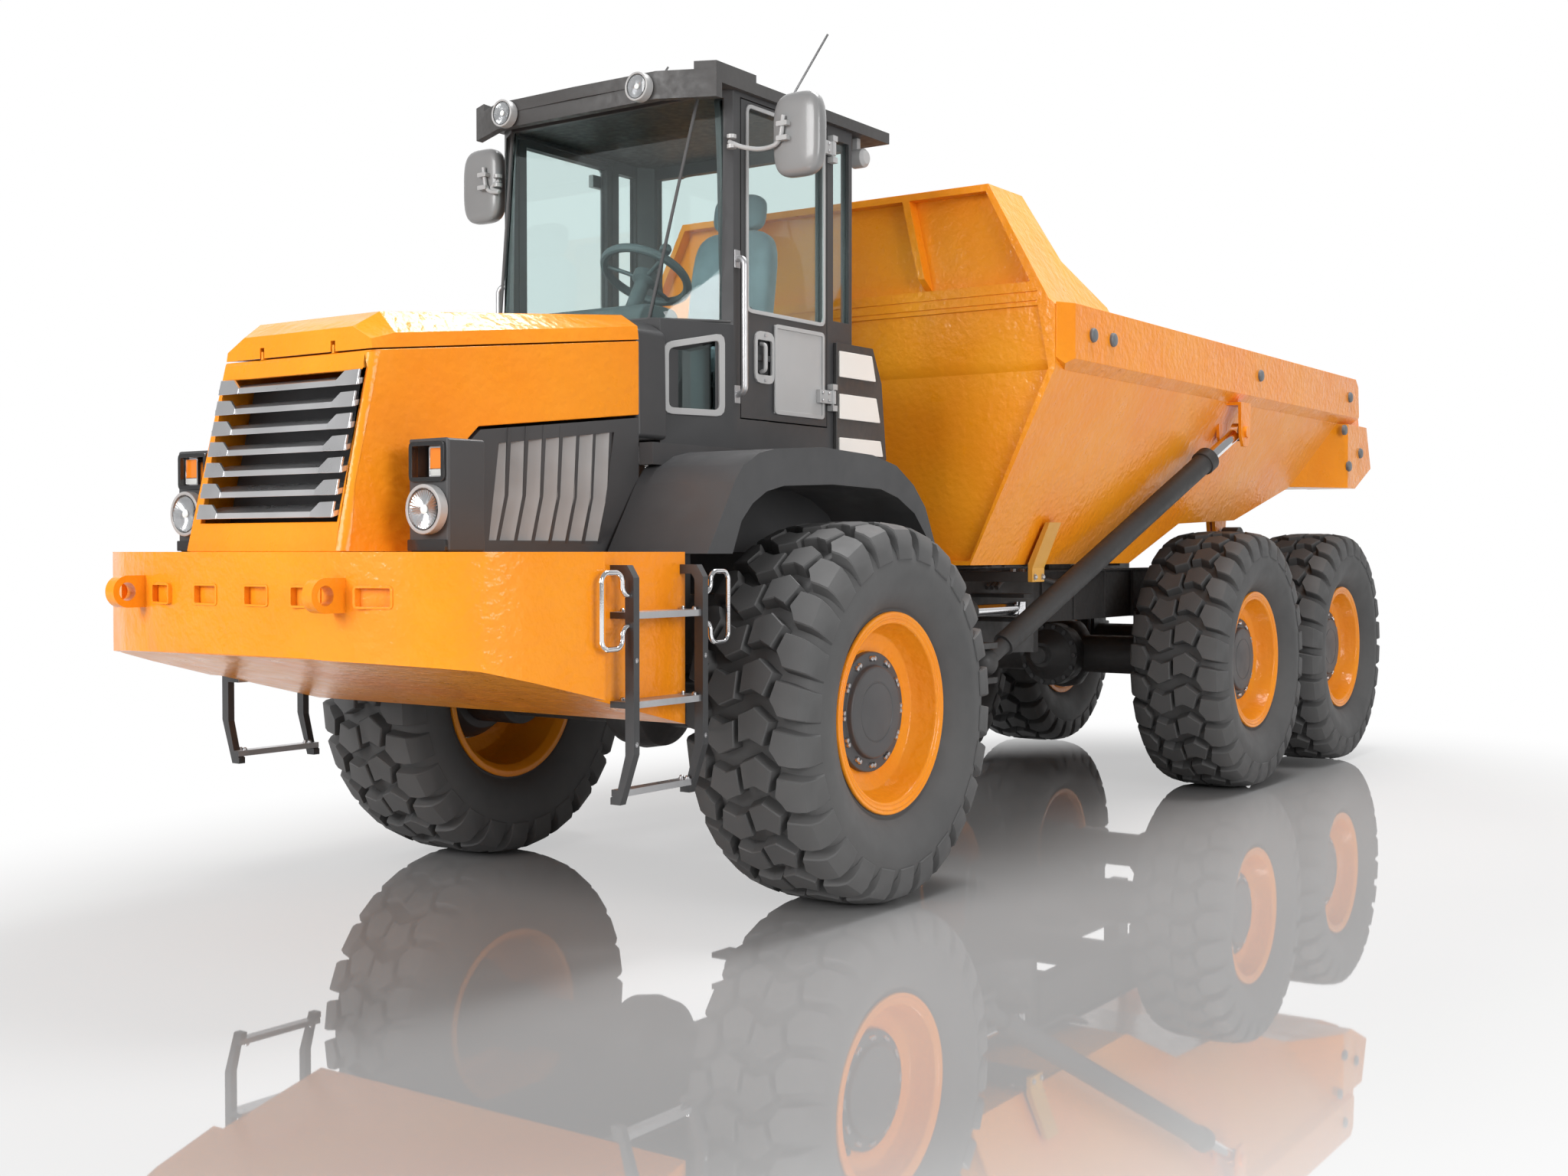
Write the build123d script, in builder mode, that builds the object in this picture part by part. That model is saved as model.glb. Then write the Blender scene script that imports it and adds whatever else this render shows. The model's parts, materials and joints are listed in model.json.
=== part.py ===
from build123d import *
import math
import os

# Articulated dump truck, six wheels, steered by its centre hinge.
# Millimetres. Origin: middle of the footprint on the ground. +X is the truck's left,
# +Y points to its rear, +Z up. Heights are above ground; places along the truck are
# given from the front axle and moved to the origin by front_axle_y.

# Stance
wheelbase = 4392.0
bogie_spacing = 1781.0
track = 2176.0
tyre_radius = 808.5
tyre_half_width = 300.0
tow_eye_y = -2385.0
tow_eye_radius = 59.0
front_reach = tow_eye_radius - tow_eye_y
overall_length = front_reach + wheelbase + bogie_spacing + tyre_radius
front_axle_y = front_reach - overall_length / 2
mid_axle_y = wheelbase
rear_axle_y = wheelbase + bogie_spacing
axle_z = tyre_radius

# Fits
pin_gap = 0.3
seam_gap = 6.0

# Articulation and rear hinge of the bed
articulation_y = 1150.0
articulation_pin_radius = 60.0
bed_hinge_y = 6300.0
bed_hinge_z = 1580.0
bed_pin_radius = 45.0


def side_plane(x):
    """Sketch plane seen from the left: local x is rearward, local y is up."""
    return Plane(origin=(x, front_axle_y, 0), x_dir=(0, 1, 0), z_dir=(1, 0, 0))


def front_plane(y):
    """Sketch plane across the truck: local x is to the left, local y is up."""
    return Plane(origin=(0, front_axle_y + y, 0), x_dir=(1, 0, 0), z_dir=(0, -1, 0))


def top_plane(z):
    """Sketch plane seen from above: local x is to the left, local y is rearward."""
    return Plane(origin=(0, front_axle_y, z), x_dir=(1, 0, 0), z_dir=(0, 0, 1))


def prism(plane, corners, depth, mode=Mode.ADD):
    """A straight-sided plate or block from its outline."""
    with BuildSketch(plane) as outline:
        with BuildLine():
            Polyline(*corners, close=True)
        make_face()
    extrude(outline.sketch, amount=depth, mode=mode)


def across(corners, x_low, x_high, mode=Mode.ADD):
    """A side outline carried across from x_low to x_high."""
    prism(side_plane(x_low), corners, x_high - x_low, mode)


def along(corners, y_low, y_high, mode=Mode.ADD):
    """A front outline carried rearward from y_low to y_high."""
    prism(front_plane(y_low), corners, y_low - y_high, mode)


def upward(corners, z_low, z_high, mode=Mode.ADD):
    """A plan outline carried up from z_low to z_high."""
    prism(top_plane(z_low), corners, z_high - z_low, mode)


def block(x_low, x_high, y_low, y_high, z_low, z_high, mode=Mode.ADD):
    """A rectangular block between its limits."""
    upward([(x_low, y_low), (x_high, y_low), (x_high, y_high), (x_low, y_high)], z_low, z_high, mode)


def mirrored(corners):
    """A half outline at positive x, closed by its own mirror image."""
    return list(corners) + [(-x, y) for x, y in reversed(corners)]


def drum(plane, start, length, radius, mode=Mode.ADD):
    """A round bar along the plane's normal."""
    with BuildSketch(plane.offset(start)) as outline:
        Circle(radius)
    extrude(outline.sketch, amount=length, mode=mode)


def cross_bar(x_low, x_high, y, z, radius, mode=Mode.ADD):
    """A round bar along X."""
    with BuildSketch(side_plane(x_low)) as outline:
        with Locations((y, z)):
            Circle(radius)
    extrude(outline.sketch, amount=x_high - x_low, mode=mode)


def post(x, y, z_low, z_high, radius, mode=Mode.ADD):
    """A round bar along Z."""
    with BuildSketch(top_plane(z_low)) as outline:
        with Locations((x, y)):
            Circle(radius)
    extrude(outline.sketch, amount=z_high - z_low, mode=mode)


def bent_tube(points, bend, radius):
    """A round tube bent through points given as x, y from the front axle, and z."""
    with BuildLine() as path:
        FilletPolyline(*[(x, front_axle_y + y, z) for x, y, z in points], radius=bend)
    with BuildSketch(Plane(origin=path.line @ 0, z_dir=path.line % 0)) as ring:
        Circle(radius)
    sweep(ring.sketch, path=path.line)


def keep(part, name):
    """Label a finished piece and write it."""
    part.label = name
    export_step(part, "parts/" + name + ".step")


os.makedirs("parts", exist_ok=True)

# Front chassis
front_rail_inner = 370.0
front_rail_outer = 470.0
front_rail_bottom = 1000.0
front_rail_top = 1300.0
rail_nose_bottom = 1150.0
saddle_z = 960.0
front_rail_nose_y = -2000.0
front_rail_tail_y = 640.0
yoke_half_width = 230.0
yoke_end_radius = 150.0
yoke_plates = [(878.0, 938.0), (1262.0, 1322.0)]
hitch_bottom = 950.0
hitch_top = 1250.0
steer_pivot_x = 550.0
steer_pivot_y = 700.0
steer_z = 1165.0
steer_pin_radius = 30.0
steer_boss_radius = 55.0
steer_boss_half = 45.0
steer_plate = 25.0
engine_bottom = 1150.0
body_half_width = 600.0
cab_beam_top = 1560.0
cab_beams = [(-560.0, -460.0), (450.0, 550.0)]
engine_beams = [(-1300.0, -1200.0), (-800.0, -700.0)]

with BuildPart() as front_frame:
    for side in (-1, 1):
        low, high = sorted((side * front_rail_inner, side * front_rail_outer))
        across([(front_rail_nose_y, rail_nose_bottom), (front_rail_nose_y, front_rail_top),
                (front_rail_tail_y, front_rail_top), (front_rail_tail_y, front_rail_bottom),
                (-1350, front_rail_bottom), (-1550, rail_nose_bottom)], low, high)
    for y_low, y_high in engine_beams:
        block(-front_rail_outer, front_rail_outer, y_low, y_high, engine_bottom - 100, engine_bottom)
    for y_low, y_high in cab_beams:
        block(-body_half_width, body_half_width, y_low, y_high, front_rail_top - 60, cab_beam_top)
    block(-front_rail_outer, front_rail_outer, front_rail_tail_y - 80, front_rail_tail_y,
          yoke_plates[0][0], yoke_plates[1][1])
    for z_low, z_high in yoke_plates:
        block(-yoke_half_width, yoke_half_width, front_rail_tail_y, articulation_y, z_low, z_high)
        post(0, articulation_y, z_low, z_high, yoke_end_radius)
    post(0, articulation_y, yoke_plates[0][0] - 30, yoke_plates[1][1] + 30, articulation_pin_radius)
    for side in (-1, 1):
        low, high = sorted((side * (front_rail_outer - 60), side * (steer_pivot_x + 60)))
        for z in (steer_z - steer_boss_half - 5 - steer_plate, steer_z + steer_boss_half + 5):
            block(low, high, front_rail_tail_y - 80, steer_pivot_y + 60, z, z + steer_plate)
        post(side * steer_pivot_x, steer_pivot_y, steer_z - steer_boss_half - 20,
             steer_z + steer_boss_half + 20, steer_pin_radius)
    for side in (-1, 1):
        low, high = sorted((side * 380, side * 460))
        block(low, high, -90, 90, saddle_z, front_rail_bottom)
keep(front_frame.part, "front_frame")

# Axles: tube, final drive drums, differential bowl and spindles
axle_tube_radius = 125.0
hub_drum_radius = 165.0
hub_drum_start = track / 2 - 288
hub_drum_end = track / 2 - 33
spindle_radius = 95.0
spindle_end = track / 2 + 38
diff_radius = 230.0
diff_half_width = 170.0


def axle(y):
    """Tube, differential, hub drums and spindles of one axle, revolved about its centre line."""
    half = [
        (0, diff_radius), (diff_half_width * 0.6, diff_radius * 0.93), (diff_half_width, axle_tube_radius),
        (hub_drum_start, axle_tube_radius), (hub_drum_start, hub_drum_radius),
        (hub_drum_end, hub_drum_radius), (hub_drum_end, spindle_radius), (spindle_end, spindle_radius),
        (spindle_end, 0),
    ]
    plane = Plane(origin=(0, front_axle_y + y, axle_z), x_dir=(1, 0, 0), z_dir=(0, -1, 0))
    with BuildSketch(plane) as outline:
        with BuildLine():
            Polyline(*half, (-spindle_end, 0), *[(-x, r) for x, r in reversed(half[1:-1])], close=True)
        make_face()
    revolve(outline.sketch, axis=Axis((0, front_axle_y + y, axle_z), (1, 0, 0)))


with BuildPart() as front_axle:
    axle(0)
    for side in (-1, 1):
        low, high = sorted((side * 380, side * 460))
        block(low, high, -90, 90, axle_z, saddle_z)
keep(front_axle.part, "front_axle")

# Wheels: section of rim and hub as (distance outboard of the wheel's middle plane, radius)
rim_seat_radius = 412.0
rim_flange_radius = 429.0
rim_section = [
    (152, 0), (152, 195), (122, 195), (122, 255), (92, 262), (108, 330), (226, 392),
    (234, rim_flange_radius), (216, rim_flange_radius), (216, rim_seat_radius),
    (-216, rim_seat_radius), (-216, rim_flange_radius), (-234, rim_flange_radius),
    (-234, 378), (62, 352), (48, 262), (-28, 200), (-28, spindle_radius + pin_gap),
    (40, spindle_radius + pin_gap), (40, 0),
]

# Tyres: two staggered rows of lugs on a carcass with as many flats as there are lugs
lug_count = 26
lug_share = 0.36
lug_pitch = 360 / lug_count
groove_radius = 752.0
tread_half_width = 275.0
shoulder_radius = 742.0
bulge_radius = 650.0
bead_half_width = 208.0
bead_radius = (rim_seat_radius + pin_gap) / math.cos(math.radians(lug_pitch / 2))
axle_places = [("front", 0.0), ("mid", mid_axle_y), ("rear", rear_axle_y)]


def turned(section, side, y):
    """A wheel piece turned about its axle from its section."""
    centre = (side * track / 2, front_axle_y + y, axle_z)
    plane = Plane(origin=centre, x_dir=(side, 0, 0), z_dir=(0, -side, 0))
    with BuildSketch(plane) as outline:
        with BuildLine():
            Polyline(*section, close=True)
        make_face()
    revolve(outline.sketch, axis=Axis(centre, (1, 0, 0)))


def lug_row(y, start):
    """Side outline of one row of lugs with its grooves, from the lug that stands on the ground."""
    corners = []
    for step in range(lug_count):
        for share, radius in ((-lug_share, tyre_radius), (lug_share, tyre_radius), (0.5, groove_radius)):
            turn = math.radians((step + start + share + lug_share) * lug_pitch - 90)
            corners.append((y + radius * math.cos(turn), axle_z + radius * math.sin(turn)))
    return corners


def cone(y, x_low, radius_low, x_high, radius_high, mode=Mode.ADD):
    """A many-sided cone of the carcass about the axle."""
    ends = []
    for x, radius in ((x_low, radius_low), (x_high, radius_high)):
        with BuildSketch(side_plane(x)) as end:
            with Locations((y, axle_z)):
                RegularPolygon(radius, lug_count)
        ends.append(end.sketch)
    loft(ends, ruled=True, mode=mode)


def tyre_body(side, y):
    """Tyre with its outboard row of lugs standing on the ground line."""
    middle = side * track / 2
    for inner, outer, start in ((0, side * tread_half_width, 0), (-side * tread_half_width, 0, 0.5)):
        across(lug_row(y, start), *sorted((middle + inner, middle + outer)))
    for end in (-1, 1):
        cone(y, middle + end * tread_half_width, shoulder_radius, middle + end * tyre_half_width, bulge_radius)
    cone(y, middle - tyre_half_width, bead_radius, middle + tyre_half_width, bead_radius, Mode.SUBTRACT)
    slope = (bulge_radius - bead_radius) / (tyre_half_width - bead_half_width)
    for end in (-1, 1):
        cone(y, middle + end * bead_half_width, bead_radius, middle + end * (tyre_half_width + 10),
             bulge_radius + 10 * slope, Mode.SUBTRACT)


for axle_name, y in axle_places:
    for side_name, side in (("left", 1), ("right", -1)):
        with BuildPart() as rim:
            turned(rim_section, side, y)
        keep(rim.part, "rim_" + axle_name + "_" + side_name)
        with BuildPart() as tyre:
            tyre_body(side, y)
        keep(tyre.part, "tyre_" + axle_name + "_" + side_name)

# Bumper: a shell, its plan outline cut by a side outline with the sloping belly
bumper_wall = 30.0
bumper_top = 1487.0
deck = 12.0
bumper_plan = [(400, -2330), (680, -2280), (900, -2190), (1000, -2080), (1060, -1900), (1100, -1600),
               (1100, -1590), (1040, -1590), (1040, -1060)]
bumper_side = [(-2360, bumper_top), (-2360, 1125), (-2100, 1090), (-1060, 834), (-1060, bumper_top)]
bumper_foot = 800.0
bumper_corner = 70.0
bumper_round_y = -1850.0
belly_corner = 60.0
belly_y = -1900.0
skirt_x = 900.0
bumper_slots = (140.0, 400.0, 680.0)
slot_z = 1335.0
tow_eye_x = 543.0
tow_eye_z = 1341.0
tow_eye_hole = 34.0
tow_eye_plate = 50.0



def bumper_form(wall):
    """The bumper's body: rounded plan and side outlines crossed, smaller by wall on every side."""
    with BuildSketch(top_plane(bumper_foot)) as plan:
        with BuildLine():
            Polyline(*mirrored(bumper_plan), close=True)
        make_face()
        fillet([v for v in plan.vertices() if v.Y < bumper_round_y], radius=bumper_corner)
        if wall:
            offset(amount=-wall, kind=Kind.INTERSECTION)
    extrude(plan.sketch, amount=bumper_top - bumper_foot)
    with BuildSketch(side_plane(-1200)) as side_view:
        with BuildLine():
            Polyline(*bumper_side, close=True)
        make_face()
        fillet(side_view.vertices().sort_by(Axis.Y)[1:3], radius=belly_corner)
        if wall:
            offset(amount=-wall, kind=Kind.INTERSECTION)
    extrude(side_view.sketch, amount=2400, mode=Mode.INTERSECT)


with BuildPart() as bumper_room:
    bumper_form(bumper_wall)

with BuildPart() as bumper_shell:
    bumper_form(0)
    add(bumper_room.part, mode=Mode.SUBTRACT)
    block(-1010, 1010, -1100, -1000, 880, bumper_top - deck, Mode.SUBTRACT)
    block(-480, 480, -1780, -1000, 1400, 1600, Mode.SUBTRACT)

# The shell's pieces: bumper in front, belly plate and the skirts beside it
with BuildPart() as bumper:
    add(bumper_shell.part)
    block(-skirt_x, skirt_x, -2500, belly_y, 0, 2000, Mode.INTERSECT)
    for x in bumper_slots:
        for side in (-1, 1):
            block(side * x - 60, side * x + 60, -2400, -2200, slot_z - 32, slot_z + 32, Mode.SUBTRACT)
    for side in (-1, 1):
        low, high = sorted((side * 380, side * 460))
        block(low, high, -2310, front_rail_nose_y, rail_nose_bottom, 1280)
        low, high = sorted((side * (tow_eye_x - tow_eye_plate / 2), side * (tow_eye_x + tow_eye_plate / 2)))
        block(low, high, tow_eye_y, -2285, tow_eye_z - tow_eye_radius, tow_eye_z + tow_eye_radius)
        cross_bar(low, high, tow_eye_y, tow_eye_z, tow_eye_radius)
        cross_bar(low, high, tow_eye_y, tow_eye_z, tow_eye_hole, Mode.SUBTRACT)
keep(bumper.part, "bumper")

with BuildPart() as belly_plate:
    add(bumper_shell.part)
    block(-skirt_x, skirt_x, belly_y, -1000, 0, 2000, Mode.INTERSECT)
keep(belly_plate.part, "belly_plate")

for side_name, side in (("left", 1), ("right", -1)):
    with BuildPart() as skirt:
        add(bumper_shell.part)
        low, high = sorted((side * skirt_x, side * 1200))
        block(low, high, -2500, -1000, 0, 2000, Mode.INTERSECT)
    keep(skirt.part, "skirt_" + side_name)

# Ladders: two bent stiles and three treads each side, with bent grab handles
ladder_wall_x = 1040.0
ladder_stiles = (-1495.0, -1092.0)
stile_width = 32.0
stile_outline = [(ladder_wall_x, 1405), (1095, 1405), (1110, 1385), (1110, 760), (1070, 620), (1040, 605),
                 (1040, 580), (1085, 580), (1150, 765), (1150, 1395), (1120, 1440), (ladder_wall_x, 1440)]
ladder_treads = [(1260.0, ladder_wall_x, 1140.0), (940.0, ladder_wall_x, 1140.0), (622.0, 1045.0, 1095.0)]

# Grab loops: distance from the stile's outer face and height
grab_loop = [(-2, 1332), (40, 1332), (40, 1414), (152, 1414), (152, 1144), (40, 1144), (40, 1224), (-2, 1224)]
grab_x = 1130.0
grab_bend = 36.0
grab_radius = 10.0
with BuildPart() as ladders:
    for y in ladder_stiles:
        along(stile_outline, y, y + stile_width)
    for y, way in ((ladder_stiles[0], -1), (ladder_stiles[1] + stile_width, 1)):
        bent_tube([(grab_x, y + way * out, z) for out, z in grab_loop], grab_bend, grab_radius)
    for z, x_low, x_high in ladder_treads:
        block(x_low, x_high, ladder_stiles[0], ladder_stiles[1] + stile_width, z - 12, z + 12)
    mirror(about=Plane.YZ)
keep(ladders.part, "ladders")

# Hood: sides and front surround below the seam, lid above it
hood_wall = 25.0
hood_bottom = bumper_top
hood_loft_top = 2400.0
hood_front_low = (430.0, -2197.0)
hood_front_high = (399.0, -1988.0)
hood_rear = (body_half_width, -800.0)
seam_front = (-2035.0, 2200.0)
seam_rear = (-800.0, 2340.0)
hood_lower_edge = [(-797, 2042), (-1589, 1953), (-1640, 1905), (-1680, hood_bottom)]
lid_hinge_y = -2021.0
lid_hinge_z = 2222.0
lid_pin_radius = 5.0
lid_tab = (190.0, 202.0)
lid_pin_end = 246.0


def hood_block(inset, tail):
    """The hood's tapered block, smaller by inset on every side but its foot."""
    levels = []
    for z, front in ((hood_bottom, hood_front_low), (hood_loft_top, hood_front_high)):
        with BuildSketch(top_plane(z)) as level:
            with BuildLine():
                Polyline(*mirrored([(front[0] - inset, front[1] + inset), (hood_rear[0] - inset, tail)]),
                         close=True)
            make_face()
        levels.append(level.sketch)
    loft(levels, ruled=True)


with BuildPart() as hood_room:
    hood_block(hood_wall, hood_rear[1] + 50)

with BuildPart() as hood_body:
    hood_block(0, hood_rear[1])
    across([(-2300, hood_bottom), (-2300, 2170), seam_front, seam_rear, *hood_lower_edge],
           -700, 700, Mode.INTERSECT)
    add(hood_room.part, mode=Mode.SUBTRACT)
    along([(-377, 1592), (377, 1592), (388, 2132), (-388, 2132)], -2300, -1900, Mode.SUBTRACT)
    for side in (-1, 1):
        low, high = sorted((side * lid_tab[0], side * lid_tab[1]))
        block(low, high, lid_hinge_y - 10, lid_hinge_y + 10, lid_hinge_z - 32, lid_hinge_z + 10)
        low, high = sorted((side * lid_tab[0], side * lid_pin_end))
        cross_bar(low, high, lid_hinge_y, lid_hinge_z, lid_pin_radius)
keep(hood_body.part, "hood_body")


seam_slope = (seam_rear[1] - seam_front[1]) / (seam_rear[0] - seam_front[0])
lid_stations = [
    (-2030.0, 404.0, [(396, 2240), (300, 2290)]),
    (-1930.0, 418.0, [(412, 2270), (330, 2352)]),
    (hood_rear[1], body_half_width, [(body_half_width - 6, 2400), (body_half_width - 90, 2452)]),
]


def lid_shape(inset):
    """Lid lofted through its cross sections, smaller by inset."""
    rings = []
    for y, half, upper in lid_stations:
        seam_z = seam_front[1] + (y - seam_front[0]) * seam_slope + seam_gap
        with BuildSketch(front_plane(y)) as ring:
            with BuildLine():
                Polyline(*mirrored([(half - inset, seam_z)] + [(x - inset, z - inset) for x, z in upper]),
                         close=True)
            make_face()
        rings.append(ring.sketch)
    loft(rings[:2], ruled=True)
    loft(rings[1:], ruled=True)


with BuildPart() as lid_room:
    lid_shape(hood_wall)
    block(-1000, 1000, lid_stations[0][0] + 30, hood_rear[1] - 30, 2000, 2600, Mode.INTERSECT)

with BuildPart() as hood_lid:
    lid_shape(0)
    add(lid_room.part, mode=Mode.SUBTRACT)
    for side in (-1, 1):
        low, high = sorted((side * (lid_tab[0] - seam_gap), side * (lid_tab[1] + seam_gap)))
        block(low, high, lid_hinge_y - 24, lid_hinge_y + 24, lid_hinge_z - 32, lid_hinge_z + 24,
              Mode.SUBTRACT)
        low, high = sorted((side * lid_tab[0], side * (lid_pin_end + 2)))
        cross_bar(low, high, lid_hinge_y, lid_hinge_z, lid_pin_radius + pin_gap, Mode.SUBTRACT)
keep(hood_lid.part, "hood_lid")

# Grille: dark core and seven slanted blades
blade_count = 7
blade_pitch = 78.0
blade_first_z = 1625.0
grille_low = (377.0, 1592.0)
grille_high = (388.0, 2132.0)
grille_flare = (grille_high[0] - grille_low[0]) / (grille_high[1] - grille_low[1])
with BuildPart() as grille:
    across([(-2072, hood_bottom), (-1925, 2120), (-1885, 2120), (-2032, hood_bottom)], -370, 370)
    for step in range(blade_count):
        z = blade_first_z + step * blade_pitch
        y = -2197 + (z - 1504) * 0.2328
        half = grille_low[0] + (z - 18 - grille_low[1]) * grille_flare
        across([(y - 20, z - 18), (y + 100, z + 20), (y + 100, z + 32), (y - 20, z + 4)], -half, half)
keep(grille.part, "grille")

# Vent casing under the hood's rear part, with seven upright fins each side
vent_fins = 7
with BuildPart() as side_vents:
    hood_block(0, hood_rear[1])
    across([(-1668, hood_bottom), (-1628, 1900), (-1583, 1947 - seam_gap), (-797, 2036 - seam_gap),
            (-797, hood_bottom)], -700, 700, Mode.INTERSECT)
    add(hood_room.part, mode=Mode.SUBTRACT)
    across([(-1560, 1530), (-1500, 1895), (-930, 1965), (-1005, 1530)], -700, 700, Mode.SUBTRACT)
    for step in range(vent_fins):
        y = -1520 + step * 84
        for side in (-1, 1):
            x = side * (hood_front_low[0] + (y - hood_front_low[1]) * 0.13)
            low, high = sorted((x - side * 50, x - side * 8))
            across([(y - 8, 1520), (y + 42, 1700), (y + 62, 1975), (y + 80, 1975), (y + 60, 1700),
                    (y + 10, 1520)], low, high)
    across([(-1668, hood_bottom), (-1628, 1900), (-1583, 1947 - seam_gap), (-797, 2036 - seam_gap),
            (-797, hood_bottom)], -700, 700, Mode.INTERSECT)
keep(side_vents.part, "side_vents")

with BuildPart() as engine_block:
    block(-330, 330, -1500, -620, engine_bottom, 1950)
keep(engine_block.part, "engine_block")

# Roof: slab with a deeper fascia and raised front corners
cab_top = 3460.0
roof_top = 3512.0
roof_horn_top = 3545.0
fascia_bottom = 3395.0
fascia_depth = 40.0
roof_plan = [(0, -525), (460, -515), (698, -407), (700, 980)]
roof_horn = [(610, -447), (698, -407), (698, -120), (640, -120)]
with BuildPart() as cab_roof:
    upward(mirrored(roof_plan[1:]), cab_top, roof_top)
    upward([(-460, -515), (0, -525), (460, -515), (460, -400), (-460, -400)], cab_top, roof_top)
    upward(mirrored([(460, -515), (698, -407), (698, -407 + fascia_depth), (460, -515 + fascia_depth)]),
           fascia_bottom, cab_top)
    upward(roof_horn, roof_top, roof_horn_top)
    mirror(about=Plane.YZ)
keep(cab_roof.part, "cab_roof")

# Lamp boxes beside the hood, open at the top for the indicator
lamp_box = (550.0, 747.0, -2000.0, -1820.0, 1487.0, 1880.0)
headlamp_radius = 87.0
headlamp_x = 660.0
headlamp_z = 1634.0
roof_lamp_x = 390.0
roof_lamp_z = 3449.0
roof_lamp_radius = 61.0
lens_share = 0.84
lens_depth = 12.0
with BuildPart() as lamp_boxes:
    block(*lamp_box)
    block(572, 725, -2000, -1900, 1740, 1860, Mode.SUBTRACT)
    mirror(about=Plane.YZ)
keep(lamp_boxes.part, "lamp_boxes")

with BuildPart() as lamps:
    for side in (-1, 1):
        for x, y, z, radius, depth in (
            (headlamp_x, -2000, headlamp_z, headlamp_radius, 38),
            (roof_lamp_x, roof_plan[0][1] + 7, roof_lamp_z, roof_lamp_radius, 45),
        ):
            with BuildSketch(front_plane(y)) as disc:
                with Locations((side * x, z)):
                    Circle(radius)
            extrude(disc.sketch, amount=depth)
            with BuildSketch(front_plane(y - depth)) as lens:
                with Locations((side * x, z)):
                    Circle(radius * lens_share)
            extrude(lens.sketch, amount=-lens_depth, mode=Mode.SUBTRACT)
        block(*sorted((side * 580, side * 717)), -1930, -1900, 1745, 1850)
keep(lamps.part, "lamps")

# Fenders: arch band, inner wall and cab shelf
fender_outer_x = 1100.0
fender_inner_x = body_half_width
fender_top = [(-1000, 1480), (-822, 1760), (-768, 1825), (-661, 1878), (-555, 1899), (-202, 1923),
              (189, 1908), (388, 1870), (539, 1788), (644, 1690), (751, 1491)]
fender_arch = [(668, 1491), (650, 1560), (546, 1661), (402, 1727), (255, 1762), (-130, 1770), (-492, 1753),
               (-610, 1727), (-705, 1677), (-778, 1608), (-837, 1480)]
with BuildPart() as fenders:
    across(fender_top + fender_arch, fender_inner_x, fender_outer_x)
    across(fender_top, fender_inner_x, fender_inner_x + 30)
    block(fender_inner_x, 670, -797, 700, 1840, 1930)
    mirror(about=Plane.YZ)
keep(fenders.part, "fenders")

# Cab shell: lower tub and glazed upper part
cab_floor = 1930.0
cab_waist = 2460.0
cab_wall = 45.0
screen = [(-636, 2470), (636, 2470), (636, 3425), (-636, 3425)]
quarter_pane = [(566, 2085), (640, 2085), (640, 2392), (566, 2335)]
side_pane = (530.0, 664.0, 2560.0, 3400.0)
rear_pane = [(-560, 2560), (560, 2560), (560, 3400), (-560, 3400)]
door_front_y = -200.0
door_rear_y = 480.0
door_bottom = 2060.0
door_top = 3440.0
cab_side_x = 670.0
cab_rear = [(670, 690), (600, 800)]
cab_low_plan = [(550, -600), (cab_side_x, -255)] + cab_rear
cab_waist_plan = [(436, -535), (cab_side_x, -250)] + cab_rear
cab_top_plan = [(544, -333), (cab_side_x, -250)] + cab_rear


def cab_block(inset, foot, head):
    """The cab's outer or inner form."""
    levels = []
    for z, plan in ((cab_floor + foot, cab_low_plan), (cab_waist, cab_waist_plan),
                    (cab_top + head, cab_top_plan)):
        with BuildSketch(top_plane(z)) as level:
            with BuildLine():
                Polyline(*mirrored(plan), close=True)
            make_face()
            if inset:
                offset(amount=-inset, kind=Kind.INTERSECTION)
        levels.append(level.sketch)
    extrude(levels[0], amount=cab_waist - cab_floor - foot)
    loft(levels[1:], ruled=True)


with BuildPart() as cab_room:
    cab_block(cab_wall, 40, 1)

with BuildPart() as cab_shell:
    cab_block(0, 0, 0)
    add(cab_room.part, mode=Mode.SUBTRACT)
    along(screen, -800, -262, Mode.SUBTRACT)
    for side in (-1, 1):
        along([(side * x, z) for x, z in quarter_pane], -640, -275, Mode.SUBTRACT)
        low, high = sorted((side * 500, side * 800))
        block(low, high, door_front_y, door_rear_y, door_bottom, door_top, Mode.SUBTRACT)
        block(low, high, *side_pane, Mode.SUBTRACT)
    along(rear_pane, 700, 900, Mode.SUBTRACT)
keep(cab_shell.part, "cab_shell")

# Cowl between the hood and the cab
cowl_gap = 8.0
with BuildPart() as cowl:
    along(mirrored([(hood_rear[0] - cowl_gap, 1950), (hood_rear[0] - cowl_gap - 6, 2388),
                    (hood_rear[0] - cowl_gap - 90, 2440)]), hood_rear[1] + cowl_gap, cab_low_plan[0][1])
keep(cowl.part, "cowl")

# Whip aerials, raked to the rear
aerials = [(670.0, 180.0), (-270.0, 180.0)]
aerial_length = 472.0
with BuildPart() as roof_aerials:
    for x, y in aerials:
        with BuildSketch(Plane(origin=(x, front_axle_y + y, roof_top - 4), z_dir=(0, 0.64, 0.77))) as tip:
            Circle(5)
        extrude(tip.sketch, amount=aerial_length)
        post(x, y, roof_top, roof_top + 14, 16)
    block(-700, 700, 100, 700, roof_top, roof_top + 600, Mode.INTERSECT)
keep(roof_aerials.part, "roof_aerials")

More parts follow.
